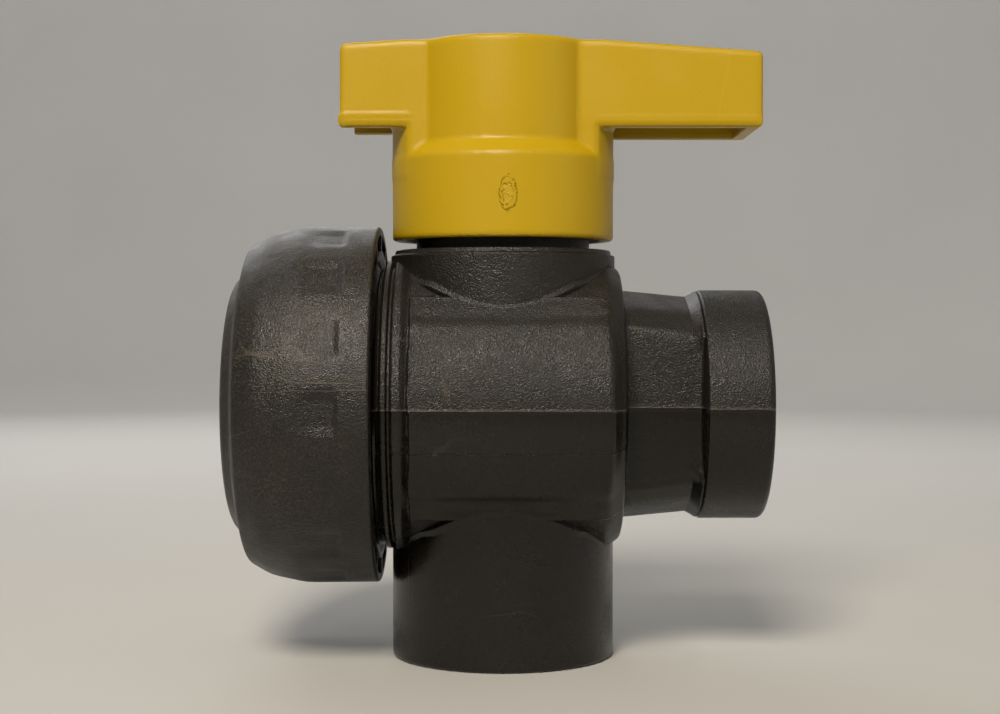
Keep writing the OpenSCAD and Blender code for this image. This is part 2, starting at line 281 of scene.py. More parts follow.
def together(surfaces: Sequence[Surface]) -> Surface:
    """Several surfaces that don't touch, as one.

    Args:
        surfaces: The surfaces.

    Returns:
        One surface with all their points and faces.
    """
    shifts = np.cumsum([0] + [len(s.points) for s in surfaces[:-1]])
    return Surface(
        np.concatenate([s.points for s in surfaces]),
        np.concatenate([s.quads + k for s, k in zip(surfaces, shifts)]),
        np.concatenate([s.triangles + k for s, k in zip(surfaces, shifts)]),
    )


def skin(rings: Array, loop: bool = False) -> Surface:
    """The closed surface over a stack of closed rings.

    A quad joins each point to the next one round its ring and to the two on the next ring. The
    ends are closed by triangles to the middle of the first and last ring, or, for a loop, by
    joining the last ring to the first.

    Args:
        rings: Points in metres, shape (rings, points round a ring, 3).
        loop: True if the last ring joins the first.

    Returns:
        The surface, faces outwards.
    """
    rows, cols = rings.shape[:2]
    index = np.arange(rows * cols).reshape(rows, cols)
    here = index if loop else index[:-1]
    there = np.roll(index, -1, axis=0)[: len(here)]
    quads = np.stack(
        [here, np.roll(here, -1, axis=1), np.roll(there, -1, axis=1), there], axis=-1
    ).reshape(-1, 4)
    points = rings.reshape(-1, 3)
    if loop:
        return Surface(points, quads).outward()
    first, last = index[0], index[-1]
    low = np.stack([np.roll(first, -1), first, np.full(cols, rows * cols)], axis=-1)
    high = np.stack([last, np.roll(last, -1), np.full(cols, rows * cols + 1)], axis=-1)
    points = np.concatenate([points, rings[:1].mean(axis=1), rings[-1:].mean(axis=1)])
    return Surface(points, quads, np.concatenate([low, high])).outward()


def crossed(line: Array, angles: Array) -> tuple[Array, Array, Array, Array]:
    """A section and the angles round it, as the arrays that a turned surface is worked out on.

    Args:
        line: The section's points, along and radius.
        angles: The angles round it, in degrees.

    Returns:
        Along and radius as columns, the angles as a row, and the plain radius at each crossing.
    """
    along, level, angle = line[:, :1], line[:, 1:], angles[None]
    return along, level, angle, level + 0.0 * angle


def lathe(line: Array, count: int) -> Surface:
    """A plain turned solid: each point of line (along, radius) goes round the stem's axis."""
    along, _, angle, radius = crossed(line, full_turn(count))
    return skin(place(Axis.STEM, along, radius, angle))


def netted(
    shape: Callable[[Array, Array, Array], Array], low: Array, high: Array, cell: float
) -> Surface:
    """The surface where a field is zero, as a net of quads.

    The field is read on a grid. Each cell that the surface passes through gets one point, the
    mean of where the surface crosses the cell's edges, and each crossed edge gets a quad
    between the four cells round it. Every point then slides along the field's slope, by the
    field's value over the square of the slope, until it lies on the surface.

    Args:
        shape: The field, negative inside, of x, y and z in mm.
        low: Lowest corner of the grid, in mm.
        high: Highest corner of the grid, in mm.
        cell: Side of a cell, in mm.

    Returns:
        The surface in the row frame, faces outwards.
    """
    size = np.ceil((high - low) / cell).astype(int) + 1
    ticks = [low[k] + cell * np.arange(size[k]) for k in range(3)]
    value = shape(ticks[0][:, None, None], ticks[1][None, :, None], ticks[2][None, None, :])
    value = np.broadcast_to(value, tuple(size)).astype(float)
    inside = value < 0.0
    total, hits, rings, turned = np.zeros((value.size, 3)), np.zeros(value.size), [], []
    for axis in range(3):
        one, two = (axis + 1) % 3, (axis + 2) % 3
        step = np.eye(3, dtype=int)
        near = np.take(inside, range(size[axis] - 1), axis=axis)
        far = np.take(inside, range(1, size[axis]), axis=axis)
        spots = np.stack(np.nonzero(near != far), axis=1)
        a = value[tuple(spots.T)]
        b = value[tuple((spots + step[axis]).T)]
        cross = spots + np.outer(a / (a - b), step[axis])
        around = [spots - i * step[one] - j * step[two] for i, j in ((1, 1), (0, 1), (0, 0), (1, 0))]
        cells = np.stack([np.ravel_multi_index(tuple(c.T), tuple(size)) for c in around], axis=1)
        for column in cells.T:
            hits += np.bincount(column, minlength=value.size)
            for k in range(3):
                total[:, k] += np.bincount(column, weights=cross[:, k], minlength=value.size)
        rings.append(cells)
        turned.append(~inside[tuple(spots.T)])
    used = np.nonzero(hits)[0]
    number = np.zeros(value.size, dtype=int)
    number[used] = np.arange(len(used))
    points = low + cell * total[used] / hits[used, None]
    quads = number[np.concatenate(rings)]
    flip = np.concatenate(turned)
    quads[flip] = quads[flip][:, ::-1]
    nudge = 0.02
    for _ in range(4):
        x, y, z = points.T
        at = shape(x, y, z)
        slope = np.stack(
            [
                shape(x + nudge, y, z) - shape(x - nudge, y, z),
                shape(x, y + nudge, z) - shape(x, y - nudge, z),
                shape(x, y, z + nudge) - shape(x, y, z - nudge),
            ],
            axis=1,
        ) / (2.0 * nudge)
        move = -at / np.maximum((slope**2).sum(axis=1), 0.25)
        points = points + np.clip(move, -0.3 * cell, 0.3 * cell)[:, None] * slope
    return Surface((points + [0.0, 0.0, AXIS_Z]) * MM, quads).outward()


# Pieces


def add_object(name: str, mesh: bpy.types.Mesh) -> bpy.types.Object:
    """A new object at the origin that shows this mesh.

    Args:
        name: Its name.
        mesh: Its mesh.

    Returns:
        The object, in the scene.
    """
    made = bpy.data.objects.new(name, mesh)
    bpy.context.scene.collection.objects.link(made)
    return made


def combine(target: bpy.types.Object, tool: Surface, how: Join) -> None:
    """Adds a solid to an object's mesh, or cuts it out.

    Args:
        target: The object whose mesh changes.
        tool: The second solid.
        how: Whether it is added or cut out.
    """
    other = add_object("tool", tool.mesh("tool"))
    step = target.modifiers.new("join", "BOOLEAN")
    step.operation, step.object, step.solver = how.value, other, "MANIFOLD"
    graph = bpy.context.evaluated_depsgraph_get()
    made = bpy.data.meshes.new_from_object(target.evaluated_get(graph))
    target.modifiers.remove(step)
    old, target.data = target.data, made
    spare = other.data
    bpy.data.objects.remove(other)
    for mesh in (old, spare):
        bpy.data.meshes.remove(mesh)
    made.name = target.name


def finish_piece(
    piece: bpy.types.Object, body: str, node: str, material: bpy.types.Material,
    sharp: float = 38.0,
) -> bpy.types.Object:
    """Shades, dresses and mounts a piece that stands for a CAD node.

    Args:
        piece: The piece, in place.
        body: The CAD body that it rides on.
        node: The CAD node that it replaces.
        material: Its material.
        sharp: Degrees past which an edge is shaded sharp.

    Returns:
        The piece.
    """
    mesh = piece.data
    mesh.polygons.foreach_set("use_smooth", np.ones(len(mesh.polygons), dtype=bool))
    mesh.set_sharp_from_angle(angle=math.radians(sharp))
    weigh = piece.modifiers.new("weigh normals", "WEIGHTED_NORMAL")
    weigh.keep_sharp, weigh.weight = True, 60
    mesh.materials.clear()
    mesh.materials.append(material)
    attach(piece, body)
    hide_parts(node)
    mesh.calc_loop_triangles()
    LOG.info("%s: %d triangles", piece.name, len(mesh.loop_triangles))
    return piece


# Finishes

Socket = bpy.types.NodeSocket
Feed = object


def linear(red: float, green: float, blue: float) -> tuple[float, float, float, float]:
    """A screen colour as the linear colour that shaders take.

    Args:
        red: Red, 0 to 255.
        green: Green, 0 to 255.
        blue: Blue, 0 to 255.

    Returns:
        Linear red, green and blue, and an alpha of 1.
    """
    parts = np.array([red, green, blue]) / 255.0
    parts = np.where(parts <= 0.04045, parts / 12.92, ((parts + 0.055) / 1.055) ** 2.4)
    return (*(float(p) for p in parts), 1.0)


class Wiring:
    """Adds and joins the nodes of one shader tree."""

    def __init__(self, tree: bpy.types.NodeTree) -> None:
        """Takes the tree to work on."""
        self.tree = tree

    def node(self, kind: str, settings: Optional[dict] = None, **feeds: Feed) -> bpy.types.Node:
        """Adds a node.

        Args:
            kind: The node's Blender type, without "ShaderNode".
            settings: Its properties.
            feeds: A value, or the output that feeds it, by input name with "_" for a space.

        Returns:
            The new node.
        """
        made = self.tree.nodes.new("ShaderNode" + kind)
        for key, value in (settings or {}).items():
            setattr(made, key, value)
        for key, value in feeds.items():
            self.feed(made.inputs[key.replace("_", " ")], value)
        return made

    def feed(self, target: Socket, value: Feed) -> None:
        """Links an output to an input, or sets the input's value.

        Args:
            target: The input.
            value: The output that feeds it, or its value.
        """
        if isinstance(value, bpy.types.NodeSocket):
            self.tree.links.new(value, target)
        else:
            target.default_value = value

    def math(self, how: str, first: Feed, second: Feed = 0.0, third: Feed = 0.0) -> Socket:
        """One arithmetic step.

        Args:
            how: Blender's name of the step, such as "MULTIPLY".
            first: Its first number.
            second: Its second number.
            third: Its third number, if it takes one.

        Returns:
            The result.
        """
        made = self.tree.nodes.new("ShaderNodeMath")
        made.operation = how
        for target, value in zip(made.inputs, (first, second, third)):
            self.feed(target, value)
        return made.outputs[0]

    def spread(self, value: Feed, low: float, high: float, to: tuple[float, float]) -> Socket:
        """The value, led smoothly from one level to another.

        Args:
            value: The value.
            low: Where it starts to change.
            high: Where it stops changing.
            to: What it becomes at low and at high.

        Returns:
            The stretched value.
        """
        made = self.node("MapRange", {"interpolation_type": "SMOOTHSTEP"}, Value=value)
        for key, level in zip(("From Min", "From Max", "To Min", "To Max"), (low, high, *to)):
            made.inputs[key].default_value = level
        return made.outputs["Result"]

    def mix(self, share: Feed, first: Feed, second: Feed) -> Socket:
        """A colour between two.

        Args:
            share: 0 for the first, 1 for the second.
            first: The first colour.
            second: The second colour.

        Returns:
            The colour.
        """
        made = self.node("Mix", {"data_type": "RGBA"})
        for k, value in ((0, share), (6, first), (7, second)):
            self.feed(made.inputs[k], value)
        return made.outputs[2]

    def noise(self, place_at: Socket, scale: Feed, detail: float = 3.0, twist: float = 0.0) -> Socket:
        """A soft noise of this scale, 0 to 1."""
        made = self.node("TexNoise", Vector=place_at, Scale=scale, Detail=detail, Distortion=twist)
        return made.outputs[0]


def group(name: str, inputs: Sequence[tuple[str, float]], outputs: Sequence[str]) -> tuple:
    """An empty shader group.

    Args:
        name: Its name.
        inputs: Name and starting value of each number that goes in.
        outputs: Name of each number that comes out.

    Returns:
        The tree, its wiring, its group input node and its group output node.
    """
    tree = bpy.data.node_groups.new(name, "ShaderNodeTree")
    for label, value in inputs:
        made = tree.interface.new_socket(label, in_out="INPUT", socket_type="NodeSocketFloat")
        made.default_value = value
    for label in outputs:
        tree.interface.new_socket(label, in_out="OUTPUT", socket_type="NodeSocketFloat")
    enter, leave = tree.nodes.new("NodeGroupInput"), tree.nodes.new("NodeGroupOutput")
    return tree, Wiring(tree), enter, leave


class Effects:
    """The effects that several finishes share, each a shader group built once."""

    def __init__(self) -> None:
        """Builds the groups."""
        self.grain = self.build_grain()
        self.scuffs = self.build_scuffs()
        self.dust = self.build_dust()

    def build_grain(self) -> bpy.types.NodeTree:
        """Moulded grain: small pits from a cell pattern, on a coarser orange peel.

        Returns:
            A group that puts out Height and a coarse Blotch, both 0 to 1.
        """
        tree, wire, enter, leave = group(
            "moulded grain", [("Scale", 1800.0)], ["Height", "Blotch"]
        )
        at = wire.node("TexCoord").outputs["Object"]
        scale = enter.outputs["Scale"]
        cells = wire.node("TexVoronoi", {"feature": "SMOOTH_F1"}, Vector=at, Scale=scale)
        fine = wire.noise(at, wire.math("MULTIPLY", scale, 0.6), 2.0)
        peel = wire.noise(at, wire.math("MULTIPLY", scale, 0.16), 3.0)
        pit = wire.math("MULTIPLY", cells.outputs["Distance"], 0.5)
        height = wire.math("MULTIPLY_ADD", fine, 0.5, wire.math("MULTIPLY_ADD", peel, 0.45, pit))
        wire.feed(leave.inputs["Height"], height)
        wire.feed(leave.inputs["Blotch"], wire.noise(at, wire.math("MULTIPLY", scale, 0.05), 4.0))
        return tree

    def build_scuffs(self) -> bpy.types.NodeTree:
        """Rub marks: thin lines where a stretched, bent noise crosses its middle level.

        Returns:
            A group that puts out Lines, the scratches, and Rub, the worn patches, both 0 to 1.
        """
        tree, wire, enter, leave = group(
            "scuffs", [("Scale", 90.0), ("Thin", 0.003), ("Cover", 0.5)], ["Lines", "Rub"]
        )
        at = wire.node("TexCoord").outputs["Object"]
        lines: Feed = 0.0
        for turn, stretch in (((0.3, 0.9, 0.2), (1.0, 1.0, 0.07)), ((1.1, 0.2, 0.8), (0.08, 1.0, 1.0))):
            mapped = wire.node("Mapping", Vector=at, Rotation=turn, Scale=stretch).outputs[0]
            level = wire.noise(mapped, enter.outputs["Scale"], 1.0, 0.4)
            away = wire.math("ABSOLUTE", wire.math("SUBTRACT", level, 0.5))
            line = wire.math("LESS_THAN", away, enter.outputs["Thin"])
            gate = wire.spread(wire.noise(mapped, 130.0, 2.0), 0.52, 0.62, (0.0, 1.0))
            lines = wire.math("MAXIMUM", lines, wire.math("MULTIPLY", line, gate))
        broad = wire.spread(wire.noise(at, 38.0, 5.0, 0.6), 0.38, 0.66, (0.25, 1.0))
        rub = wire.spread(wire.noise(at, 2600.0, 5.0, 0.3), 0.42, 0.7, (0.0, 1.0))
        worn = wire.math("MULTIPLY", wire.math("MULTIPLY", rub, broad), enter.outputs["Cover"])
        wire.feed(leave.inputs["Lines"], lines)
        wire.feed(leave.inputs["Rub"], worn)
        return tree

    def build_dust(self) -> bpy.types.NodeTree:
        """Dust: specks where small cells' middles are near, and a film that thins out.

        Returns:
            A group that puts out Specks and Film, both 0 to 1.
        """
        tree, wire, enter, leave = group("dust", [("Scale", 500.0), ("Amount", 0.2)], ["Specks", "Film"])
        at = wire.node("TexCoord").outputs["Object"]
        bent = wire.noise(at, 900.0, 2.0)
        cells = wire.node("TexVoronoi", Vector=at, Scale=enter.outputs["Scale"])
        reach = wire.math("MULTIPLY", enter.outputs["Amount"], bent)
        specks = wire.math("LESS_THAN", cells.outputs["Distance"], reach)
        film = wire.spread(wire.noise(at, 45.0, 6.0, 0.3), 0.4, 0.75, (0.0, 1.0))
        wire.feed(leave.inputs["Specks"], specks)
        wire.feed(leave.inputs["Film"], wire.math("MULTIPLY", film, enter.outputs["Amount"]))
        return tree

    def use(self, wire: Wiring, tree: bpy.types.NodeTree, **values: float) -> bpy.types.Node:
        """Places a group in a material, with its own values.

        Args:
            wire: The material's wiring.
            tree: The group.
            values: The values of its inputs, by name.

        Returns:
            The node that stands for the group.
        """
        made = wire.tree.nodes.new("ShaderNodeGroup")
        made.node_tree = tree
        for key, value in values.items():
            made.inputs[key].default_value = value
        return made


@dataclass(frozen=True)
class Plastic:
    """A moulded plastic: grain, rub marks and dust over one colour.

    Below a given height the surface is smoother, and its colour is darkened towards a shade colour
    as painted shade on the downward-facing half; the parting seam at that height is worn pale. The
    gate, if there is one, is given by its middle and half sizes in x and z.
    """

    name: str
    colour: tuple[float, float, float]
    worn: tuple[float, float, float]
    roughness: float
    spread: float = 0.08
    grain_scale: float = 1800.0
    grain: float = 0.05
    cover: float = 0.3
    scratch: float = 0.35
    dust: float = 0.12
    specular: float = 0.5
    smooth_and_shaded_below: Optional[float] = None
    smooth_gain: float = 0.3
    # Painted shade: the dark colour that the lower, downward-facing half is pulled towards.
    lower_shade_colour: tuple[float, float, float] = (17, 15, 12)
    smooth_rough: float = 0.68
    smooth_blur: float = 0.3
    seam_half: tuple[float, float] = (0.12, 0.28)
    seam_wear: float = 0.55
    gate_rise: float = 17.0
    gate: Optional[tuple[float, float, float, float]] = None

    def gate_height(self, wire: Wiring) -> Socket:
        """The vestige of the moulding gate: a raised oval rim with a torn middle.

        Args:
            wire: The material's wiring.

        Returns:
            Its height, 0 to 1, on the front of the piece only.
        """
        across, up, wide, tall = self.gate
        apart = wire.node("SeparateXYZ", Vector=wire.node("TexCoord").outputs["Object"]).outputs
        torn = wire.noise(wire.node("TexCoord").outputs["Object"], 1500.0, 3.0, 0.6)
        u = wire.math("DIVIDE", wire.math("SUBTRACT", apart[0], across), wide)
        v = wire.math("DIVIDE", wire.math("SUBTRACT", apart[2], up), tall)
        far = wire.math("SQRT", wire.math("MULTIPLY_ADD", u, u, wire.math("MULTIPLY", v, v)))
        far = wire.math("MULTIPLY_ADD", wire.math("SUBTRACT", torn, 0.5), 0.9, far)
        inside = wire.spread(far, 0.62, 0.75, (0.35, 1.0))
        rim = wire.math("MULTIPLY", inside, wire.spread(far, 1.0, 1.18, (1.0, 0.0)))
        core = wire.math("MULTIPLY", wire.spread(far, 0.7, 0.9, (1.0, 0.0)), torn)
        front = wire.math("LESS_THAN", apart[1], 0.0)
        return wire.math("MULTIPLY", wire.math("MAXIMUM", rim, core), front)

    def material(self, effects: Effects) -> bpy.types.Material:
        """Builds the material.

        Args:
            effects: The shared groups.

        Returns:
            The material.
        """
        made = bpy.data.materials.new(self.name)
        made.use_nodes = True
        wire = Wiring(made.node_tree)
        shader = made.node_tree.nodes["Principled BSDF"]
        grain = effects.use(wire, effects.grain, Scale=self.grain_scale)
        scuffs = effects.use(wire, effects.scuffs, Cover=self.cover)
        dust = effects.use(wire, effects.dust, Amount=self.dust)
        base, worn = linear(*self.colour), linear(*self.worn)
        lines = wire.math("MULTIPLY", scuffs.outputs["Lines"], self.scratch)
        wear = wire.math("MAXIMUM", lines, scuffs.outputs["Rub"])
        wear = wire.math("MAXIMUM", wear, wire.math("MULTIPLY", dust.outputs["Specks"], 0.5))
        wear = wire.math("ADD", wear, wire.math("MULTIPLY", dust.outputs["Film"], 0.6))
        colour: Feed = wire.mix(wear, base, worn)
        low, high = self.roughness - self.spread, self.roughness + self.spread
        rough = wire.spread(grain.outputs["Blotch"], 0.3, 0.7, (low, high))
        rough = wire.math("MULTIPLY_ADD", wear, 0.25, rough)
        height = grain.outputs["Height"]
        if self.smooth_and_shaded_below is not None:
            place_at = wire.node("TexCoord").outputs["Object"]
            up = wire.node("SeparateXYZ", Vector=place_at).outputs[2]
            top = self.smooth_and_shaded_below * MM
            blur = self.smooth_blur * MM
            above = wire.spread(up, top - blur, top + blur, (0.0, 1.0))
            gain = wire.spread(above, 0.0, 1.0, (self.smooth_gain, 1.0))
            height = wire.math("MULTIPLY", height, gain)
            gain = wire.spread(above, 0.0, 1.0, (self.smooth_rough, 1.0))
            rough = wire.math("MULTIPLY", rough, gain)
            # Painted shade: below the parting height the colour is mixed halfway to the dark shade
            # colour, so the downward-facing half looks shaded.
            colour = wire.mix(above, wire.mix(0.5, linear(*self.lower_shade_colour), colour), colour)
            apart = wire.math("ABSOLUTE", wire.math("SUBTRACT", up, top))
            inner, outer = (half * MM for half in self.seam_half)
            seam = wire.spread(apart, inner, outer, (self.seam_wear, 0.0))
            colour = wire.mix(seam, colour, worn)
        wire.feed(shader.inputs["Base Color"], colour)
        height = wire.math("MULTIPLY_ADD", lines, -0.8, height)
        if self.gate is not None:
            height = wire.math("MULTIPLY_ADD", self.gate_height(wire), self.gate_rise, height)
        rise = wire.node("Bump", Height=height, Strength=1.0, Distance=self.grain * MM)
        wire.feed(shader.inputs["Roughness"], rough)
        wire.feed(shader.inputs["Normal"], rise.outputs[0])
        shader.inputs["Specular IOR Level"].default_value = self.specular
        return made


@dataclass(frozen=True)
class TurnedSteel:
    """Stainless steel with the fine rings that a lathe leaves round the stem's axis."""

    name: str = "turned stainless steel"
    colour: tuple[float, float, float] = (196, 197, 198)
    roughness: float = 0.28

    def material(self, effects: Effects) -> bpy.types.Material:
        """Builds the material: rings from waves in the distance to the axis and in height.

        Args:
            effects: The shared groups.

        Returns:
            The material.
        """
        made = bpy.data.materials.new(self.name)
        made.use_nodes = True
        wire = Wiring(made.node_tree)
        shader = made.node_tree.nodes["Principled BSDF"]
        scuffs = effects.use(wire, effects.scuffs, Cover=0.4)
        apart = wire.node("SeparateXYZ", Vector=wire.node("TexCoord").outputs["Object"]).outputs
        square = wire.math("MULTIPLY", apart[1], apart[1])
        out = wire.math("SQRT", wire.math("MULTIPLY_ADD", apart[0], apart[0], square))
        run = wire.math("MULTIPLY", wire.math("ADD", out, apart[2]), 16000.0)
        rings = wire.math("SINE", run)
        base = linear(*self.colour)
        dark = tuple(0.62 * c for c in base[:3]) + (1.0,)
        wire.feed(shader.inputs["Base Color"], wire.mix(scuffs.outputs["Rub"], base, dark))
        rough = wire.math("MULTIPLY_ADD", scuffs.outputs["Rub"], 0.3, self.roughness)
        wire.feed(shader.inputs["Roughness"], rough)
        rise = wire.node("Bump", Height=rings, Strength=0.5, Distance=0.004 * MM)
        wire.feed(shader.inputs["Normal"], rise.outputs[0])
        shader.inputs["Metallic"].default_value = 1.0
        return made


class Palette:
    """Every finish of the valve, built once."""

    def __init__(self, effects: Effects) -> None:
        """Builds the materials.

        Args:
            effects: The shared groups.
        """
        black = Plastic(
            "grained black plastic", (20, 17, 13), (84, 76, 62), 0.4, spread=0.06,
            grain_scale=4300.0, grain=0.25, cover=0.16, scratch=0.25, dust=0.03, specular=0.42,
            # Painted shade: the body's lower half is darkened towards a near-black colour.
            smooth_and_shaded_below=AXIS_Z, smooth_gain=0.16, lower_shade_colour=(6, 4, 3),
        )
        nut = Plastic(
            "scuffed black plastic", (17, 14, 11), (100, 92, 76), 0.38, spread=0.06,
            grain_scale=4300.0, grain=0.2, cover=0.34, scratch=0.35, dust=0.03, specular=0.44,
        )
        smooth = Plastic(
            "smooth black plastic", (24, 23, 21), (70, 66, 60), 0.3, grain=0.02, cover=0.1, dust=0.08
        )
        yellow = Plastic(
            "mustard yellow plastic", (181, 148, 4), (200, 166, 40), 0.42, spread=0.05, specular=0.36,
            grain_scale=2600.0, grain=0.022, cover=0.08, scratch=0.15, dust=0.03,
            gate=(0.9 * MM, (AXIS_Z + 41.4) * MM, 1.55 * MM, 2.95 * MM),
        )
        seat = Plastic(
            "white fluorine plastic", (236, 235, 229), (222, 219, 208), 0.42, grain=0.015,
            cover=0.1, scratch=0.2, dust=0.0,
        )
        rubber = Plastic(
            "black sealing rubber", (18, 18, 18), (52, 51, 50), 0.55, grain=0.02, cover=0.15, dust=0.1
        )
        self.black, self.nut, self.smooth = (f.material(effects) for f in (black, nut, smooth))
        self.yellow, self.seat, self.rubber = (f.material(effects) for f in (yellow, seat, rubber))
        self.steel = TurnedSteel().material(effects)


# The valve


@dataclass
class ThreadForm:
    """A screw thread: crest and root radius, and the distance from turn to turn."""

    crest: float
    root: float
    pitch: float


PIPE = ThreadForm(15.15, 16.62, 2.309)
UNION = ThreadForm(28.75, 27.45, 3.0)


def threaded(
    form: ThreadForm, along: Array, angle: Array, plain: Array, span: tuple[float, float, float]
) -> Array:
    """A plain radius, with a thread on part of it.

    The radius goes from the form's root to its crest with the thread's ridge, and the thread
    fades to the plain radius over the run-out at both ends of the span.

    Args:
        form: The thread. A crest wider than its root is an outside thread.
        along: Distance along the run, in mm.
        angle: Angle round it, in degrees.
        plain: The radius away from the thread.
        span: Where the thread starts and ends, and the length of its run-out.

    Returns:
        The radius at each point.
    """
    start, end, fade = span
    share = ramp(along, start, start + fade) * ramp(along, end, end - fade)
    ridge = thread(along, angle, form.pitch)
    return plain + share * (form.root + (form.crest - form.root) * ridge - plain)


@dataclass
class BodyShell:
    """The moulded body: threaded barrel, flat-sided neck, socket, tower, collar and pipe."""

    left: float = -36.0
    barrel_r: float = 29.3
    pad_r: float = 30.7
    band_r: float = 30.1
    ring_r: float = 30.1
    neck_mean: float = 19.0
    neck_taper: float = 0.0042
    socket_r: float = 23.25
    socket_end: float = 52.4
    tower_r: float = 22.75
    tower_top: float = 31.2
    collar_r: float = 17.6
    collar_top: float = 36.0
    pipe_r: float = 22.5
    stop_top: float = 41.0
    stop_half: float = 68.9
    flash: float = 0.33
    pad_level: float = 31.0
    pad_foot: float = 36.5
    band_top: float = 45.8
    band_foot: float = 46.6
    band_rim: float = 45.1
    pad_start: float = -17.8
    low_ridge: float = 344.3
    neck_sides: ClassVar[tuple] = ((17.45, 3.2), (17.45, -3.2), (22.70, 47.9), (22.3, 72.7))

    def line(self) -> Array:
        """The outside line of the run, from the union end's middle to the socket's middle.

        Returns:
            Its points, along and radius.
        """
        ring = self.ring_r
        return divided(
            rounded(
                [
                    (self.left, 0.0, 0.0), (self.left, 27.2, 0.5), (-35.2, 28.1, 0.3),
                    (-23.6, 28.1, 0.3), (-23.2, 29.3, 0.35), (-22.2, 29.3, 0.35),
                    (-22.0, 28.5, 0.2), (-21.5, 28.5, 0.2), (-21.2, ring, 0.5),
                    (-19.6, ring + 0.1, 1.0), (-18.2, self.barrel_r, 2.0),
                    (20.6, self.barrel_r, 2.6), (23.5, 27.2, 1.6), (23.75, self.neck_mean, 1.3),
                    (39.1, self.neck_mean, 0.9), (39.45, self.socket_r, 0.5),
                    (self.socket_end, self.socket_r, 1.3), (self.socket_end, 0.0, 0.0),
                ],
                15.0,
            ),
            1.3,
            ((-35.5, -23.5, 0.42), (-18.9, -16.7, 0.2), (36.5, 39.2, 0.6)),
        )

    def neck(self, along: Array, angle: Array) -> Array:
        """Distance from the axis to the neck's flats, which draw in towards the socket.

        Each flat lies its distance over the cosine of the turn from it away, and a root of a
        sum of high powers takes the nearest with a soft corner.

        Args:
            along: Distance along the run, in mm.
            angle: Angle round the run, in degrees.

        Returns:
            The distance, in mm.
        """
        total = 0.0 * (along + angle)
        shrink = 1.0 - self.neck_taper * np.clip(along - 25.0, 0.0, 12.0)
        for distance, facing in self.neck_sides:
            size = distance * (shrink if abs(facing) > 40.0 else 1.0)
            for turned in sorted({facing, -facing, 180.0 - facing, 180.0 + facing}):
                near = np.cos(np.radians(angle - turned))
                total = total + (np.maximum(near, 0.02) / size) ** 64
        flats = total ** (-1.0 / 64)
        rise = ramp(along, 37.2, 39.3) * ramp(flats, 20.0, 21.5)
        return flats + rise * np.maximum(self.socket_r - 0.15 - flats, 0.0)

    def raised(self, along: Array, angle: Array) -> Array:
        """How far the pads, the bands beside them and the parting flash stand off the barrel.

        Across, a pad is level to 31 degrees and falls to the band at 36.5, and the band ends in a
        step at 46 with a low rim on it. Along, both start at a slightly wavy, raised edge and die
        into the shoulder. A thin ridge runs along the front, 15.7 degrees below its middle.

        Args:
            along: Distance along the run, in mm.
            angle: Angle round it, in degrees.

        Returns:
            The height over the barrel, in mm.
        """
        off = np.abs((angle + 90.0) % 180.0 - 90.0)
        pad = (self.pad_r - self.band_r) * ramp(off, self.pad_foot, self.pad_level)
        band = (self.band_r - self.barrel_r) * ramp(off, self.band_foot, self.band_top)
        wave = 0.2 * np.sin(np.radians(angle * 9.0)) + 0.12 * np.sin(np.radians(angle * 23.0))
        start = ramp(along + wave, self.pad_start - 0.4, self.pad_start)
        fade = ramp(along, 22.8, 20.6 - 0.09 * np.maximum(off - 18.0, 0.0))
        height = (pad + band) * start * fade
        edge = bump(along + wave, self.pad_start + 0.15, 0.28)
        edge = edge * ramp(off, 46.0, 44.5) * ramp(off, 9.0, 16.0)
        rim = bump(off, self.band_rim, 0.42) * start * fade
        low = bump(angle, self.low_ridge, 0.36) * ramp(along, -21.3, -20.6) * ramp(along, 23.3, 22.6)
        return height + 0.26 * edge + 0.16 * rim + 0.17 * low

    def outside(self) -> Surface:
        """The run's outside, closed at both ends.

        Returns:
            The closed surface.
        """
        line = self.line()
        edges = np.array([46.2, 133.8, 226.2, 313.8])
        steps = np.array([-1.5, -1.1, -0.75, -0.4, 0.0, 0.4])
        edges = np.concatenate([edges[::2] + k for k in steps] + [edges[1::2] - k for k in steps])
        angle = full_turn(200, (0.0, 180.0), (0.15, 0.3, 0.45, 0.65, 0.95))
        low = self.low_ridge + np.array([-0.6, -0.25, 0.0, 0.25, 0.6])
        angle = np.unique(np.concatenate([angle, edges, low]))
        along, level, angle, r = crossed(line, angle)
        r = threaded(UNION, along, angle, r, (-35.4, -23.8, 0.7))
        in_neck = (along > 22.0) & (along < 40.0)
        share = np.where(in_neck, np.clip((22.6 - level) / (22.6 - self.neck_mean), 0.0, 1.0), 0.0)
        r = r + share * (self.neck(along, angle) - self.neck_mean)
        solid = ramp(level, 4.0, 18.0)
        r = r + solid * self.raised(along, angle) * (level > 26.0)
        off = np.radians(np.abs((angle + 90.0) % 180.0 - 90.0)) * r
        span = ramp(along, -26.0, -25.6) * ramp(along, 52.6, 51.2)
        r = r + self.flash * solid * span * np.exp(-((off / 0.21) ** 2))
        return skin(place(Axis.RUN, along, r, angle))

